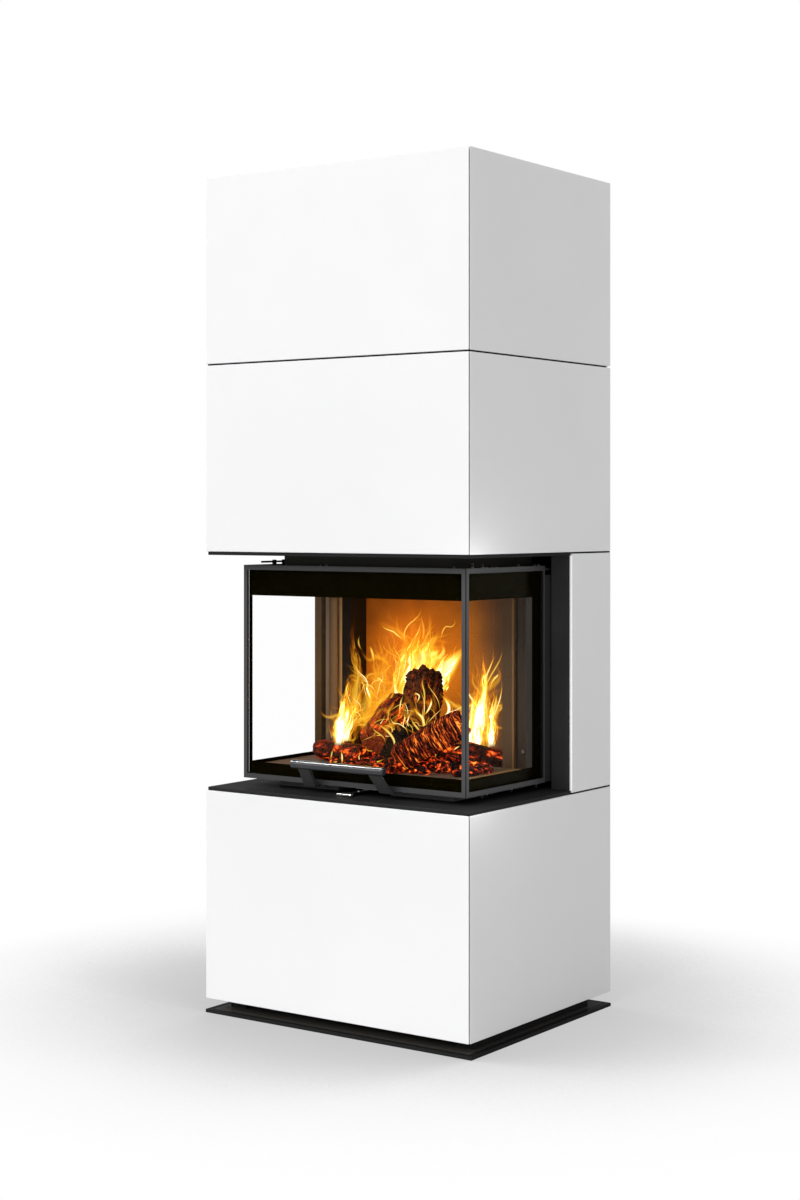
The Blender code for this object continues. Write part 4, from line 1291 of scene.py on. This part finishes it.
def make_fire():
    """The flames: soft bodies behind, thin licks over them, and a few in front of the logs. A tongue's
    row is across, rise, depth, height, width, lean and curl in millimetres, and its turn."""
    hot = flame("hot_flame", 2.2, 0.30, 0.95)
    soft = flame("soft_flame", 1.0, 0.50, 0.55, 0.62)
    make_flames("flames_soft", (
        (-46, 640, 85, 200, 60, 20, 10, 0),
        (-98, 720, 50, 220, 22, 0, 12, 0),
        (-40, 690, 90, 250, 50, 20, 20, 8),
        (20, 720, 95, 280, 60, 30, 16, -6),
        (70, 740, 85, 220, 55, 10, 14, 4),
        (-120, 636, 55, 210, 36, 20, 14, 6),
        (200, 622, 55, 260, 45, 10, 12, 6),
    ), soft)
    make_flames("flames_hot", (
        (-140, 632, 30, 165, 30, 20, 8, 0),
        (-124, 640, 40, 130, 22, 30, 8, 0),
        (20, 735, 70, 190, 46, 34, 12, 0),
        (64, 750, 75, 170, 50, 6, 10, 10),
        (100, 750, 65, 135, 26, 56, 6, 0),
        (86, 760, 60, 120, 24, 50, 6, 0),
        (190, 618, 45, 250, 36, 22, 8, 0),
        (222, 628, 35, 160, 22, 12, 8, 12),
        (178, 625, 50, 150, 22, 4, 8, -10),
    ), hot)
    thread = thread_flame()
    draw = random.Random(17)
    wild = []
    for *places, heat, count in wild_groups:
        left, foot, tip_left, top, spread, depth, width = metres(places)
        for _ in range(count):
            points = wild_thread(draw, (left, foot), (tip_left, top), spread)
            wild.append((
                width * draw.uniform(0.5, 1.3), min(1.0, heat * draw.uniform(0.65, 1.25)), points,
                depth + draw.uniform(-0.012, 0.012),
            ))
    glow = [(metres(half), heat, metres(spots), body_depth) for half, heat, spots in glow_bodies]
    make_threads("flames_glow", glow, thread)
    make_threads("flames_wild", wild, thread)
    make_threads("flames_traced", traced_threads(back_licks, thread_depth), thread)
    make_threads("flames_front", traced_threads(front_licks, front_depth, *front_heat), thread)


def floor_white():
    """White to the camera and in mirrors, with a soft shadow where the base leaves the floor in shade."""
    made, tree, shader = new_material("floor_white")
    plug(tree, shader, {"Base Color": (0.62, 0.62, 0.62, 1.0), "Roughness": 0.9, "Specular IOR Level": 0.1})
    lean = joined(tree, *shadow_lean)
    open_share = add(tree, "AmbientOcclusion", {"Distance": shadow_reach, "Normal": lean}, samples=16)
    tone = ramp(tree, open_share.outputs["AO"], shadow_tones)
    show_mix(tree, seen_ray(tree), shader, add(tree, "Emission", {"Strength": 1.0, "Color": tone}))
    return made


def make_floor():
    shape = bmesh.new()
    bmesh.ops.create_grid(shape, x_segments=12, y_segments=12, size=floor_half)
    floor = mesh_object("floor", shape, floor_white())
    floor.location.z = -floor_drop


def make_world():
    """White to the camera and in mirrors, and a plain level of light on everything else."""
    world = bpy.data.worlds.new("studio")
    bpy.context.scene.world = world
    world.use_nodes = True
    tree = world.node_tree
    level = calc(tree, "MULTIPLY_ADD", seen_ray(tree), 1.0 - sky_level, sky_level)
    plug(tree, tree.nodes["Background"], {"Color": (1.0, 1.0, 1.0, 1.0), "Strength": level})


def add_lamp(name, kind, place, energy, colour=(1.0, 1.0, 1.0), **settings):
    lamp = bpy.data.lights.new(name, kind)
    lamp.energy = energy
    lamp.color = colour
    for key, value in settings.items():
        setattr(lamp, key, value)
    made = new_object(name, lamp)
    made.location = place
    return made


def make_lights():
    sun = add_lamp("front_sun", "SUN", (0.0, -4.0, 3.0), front_sun, angle=math.radians(front_sun_spread))
    tilt, turn = front_sun_turn
    sun.rotation_euler = (math.radians(tilt), 0.0, math.radians(turn))
    for number, way in enumerate(edge_sun_ways):
        spread = math.radians(edge_sun_spread)
        lamp = add_lamp("edge_sun_" + str(number), "SUN", way, edge_sun, angle=spread)
        lamp.rotation_euler = Vector(way).to_track_quat("Z", "Y").to_euler()
    for number, place in enumerate(side_glow_places):
        name = "side_glow_" + str(number)
        add_lamp(name, "POINT", place, side_glow_power, shadow_soft_size=side_glow_size)
    for number, (place, power) in enumerate(fire_lamps):
        add_lamp("fire_" + str(number), "POINT", place, power, fire_colour, shadow_soft_size=fire_lamp_size)


def make_camera():
    lens = bpy.data.cameras.new("camera")
    lens.lens = camera_lens
    lens.shift_y = camera_drop
    made = new_object("camera", lens)
    made.location = camera_place
    made.rotation_euler = (math.radians(90.0), 0.0, math.radians(camera_turn))
    bpy.context.scene.camera = made


def make_finishes():
    black_tone = (0.019, 0.019, 0.019)
    black = powder_coat("black_coat", black_tone, 0.42, 0.0, coat=0.08)
    grey = powder_coat("grey_coat", (0.052, 0.051, 0.052), 0.36, 0.18)
    grey_door = door_coat((0.058, 0.058, 0.060), (0.020, 0.020, 0.020), (0.036, 0.036, 0.036))
    # The neck: grey partly lightened as painted light, black towards the rear as painted shade
    neck = powder_coat("neck_coat", (0.150, 0.148, 0.144), 0.45, 0.0, rear=(0.0, black_tone))
    cover = powder_coat("cover_coat", (0.044, 0.044, 0.044), 0.42, 0.0)
    ledge = powder_coat("ledge_coat", (0.024, 0.024, 0.024), 0.42, 0.0, coat=0.08)
    upper = powder_coat("upper_neck_coat", (0.080, 0.077, 0.072), 0.42, 0.0)
    bare = brushed_steel("bare_steel", (0.42, 0.42, 0.43), 0.30, (1.0, 1.0, 20.0))
    # The clay tone is chamotte with painted firelight: its deep orange stands partly for the fire's light
    clay_and_firelight_tone, stain = (0.58, 0.225, 0.020), (0.030, 0.012, 0.003)
    clay = fire_clay("fire_clay", clay_and_firelight_tone, stain, 0.80, 1.30)
    finishes = {
        "white_panel": white_lacquer("white_lacquer"),
        "black_steel": black,
        "door_steel": grey,
        "clear_glass": pane(),
        "chamotte": clay,
        "raw_steel": bare,
        "cast_weight": cast_iron(),
        "seal_rope": seal_rope(),
        "polished_steel": lever_finish(),
        "firewood": bare,
    }
    # Back slabs with painted shade towards the right
    clay_painted_shade = fire_clay("fire_clay_painted_shade", clay_and_firelight_tone, stain, 0.80, 1.30, aside=(0.185, 0.104, 0.050))
    # Near-black tones for the side slabs
    side_dark_tone, soot = (0.016, 0.011, 0.005), (0.006, 0.004, 0.002)
    near_black_clay = fire_clay("near_black_side_clay", side_dark_tone, soot, 0.7, 0.9)
    right_brick_clay = fire_clay("right_side_brick_clay", side_dark_tone, soot, 0.7, 0.9, front=(0.115, 0.068, 0.032))
    back = white_lacquer("back_lacquer", True)
    dress_nodes(finishes, {
        "side_brick_left": near_black_clay, "side_brick_right": right_brick_clay, "hearth_floor": hearth_clay(),
        "back_brick_center": clay_painted_shade, "back_brick_right": clay_painted_shade,
        # The left post carries more painted firelight than the right
        "firebox_post_left": post_paint(
            "left_post_paint_and_painted_light", 1.0, (0.580, 0.480, 0.300), (0.330, 0.210, 0.075), (0.450, 0.420, 0.360)
        ),
        "firebox_post_right": post_paint(
            "right_post_paint_and_painted_light", 0.25, (0.120, 0.080, 0.050), (0.235, 0.120, 0.040), (0.140, 0.105, 0.075)
        ),
        "handle_bar": powder_coat("handle_coat", (0.028, 0.029, 0.031), 0.14, 0.34),
        "base_plate": base_coat(), "shelf_plate": ledge, "door_frame": grey_door, "firebox_base": neck,
        "black_cover_left": cover, "black_cover_right": cover, "hood": upper, "seal_frame": upper,
        "lower_back_panel": back, "upper_back_panel": back,
    })
    for part in frame["record"]["subparts"]:
        width = edge_widths.get(part["material_slot"])
        if width and part["node"] in frame["nodes"]:
            edge = frame["nodes"][part["node"]].modifiers.new("eased_edge", "BEVEL")
            edge.width = width
            edge.segments = 2
            edge.limit_method = "ANGLE"
    return brushed_steel("dark_steel", (0.34, 0.33, 0.32), 0.32, (1.0, 1.0, 20.0)), black


def main():
    make_camera()
    make_world()
    make_floor()
    make_lights()
    steel, coat = make_finishes()
    make_glass_prints(glass_print())
    make_post_screws(steel)
    make_packing(coat)
    make_edge_trims(trim_lacquer_painted_highlight())
    make_door_fittings(steel, coat)
    make_fin_feet(bpy.data.materials["door_coat"])
    make_cables(bpy.data.materials["bare_steel"])
    make_lever_screw(steel)
    make_logs()
    make_embers(burning_wood("ember_coal", (0.010, 0.003, 0.002), 4.4, 0.51, 0.75, (60.0, 60.0, 60.0)))
    make_fire()
    bpy.context.scene.view_settings.view_transform = "Standard"
    bpy.context.scene.cycles.transparent_max_bounces = see_through_layers


main()
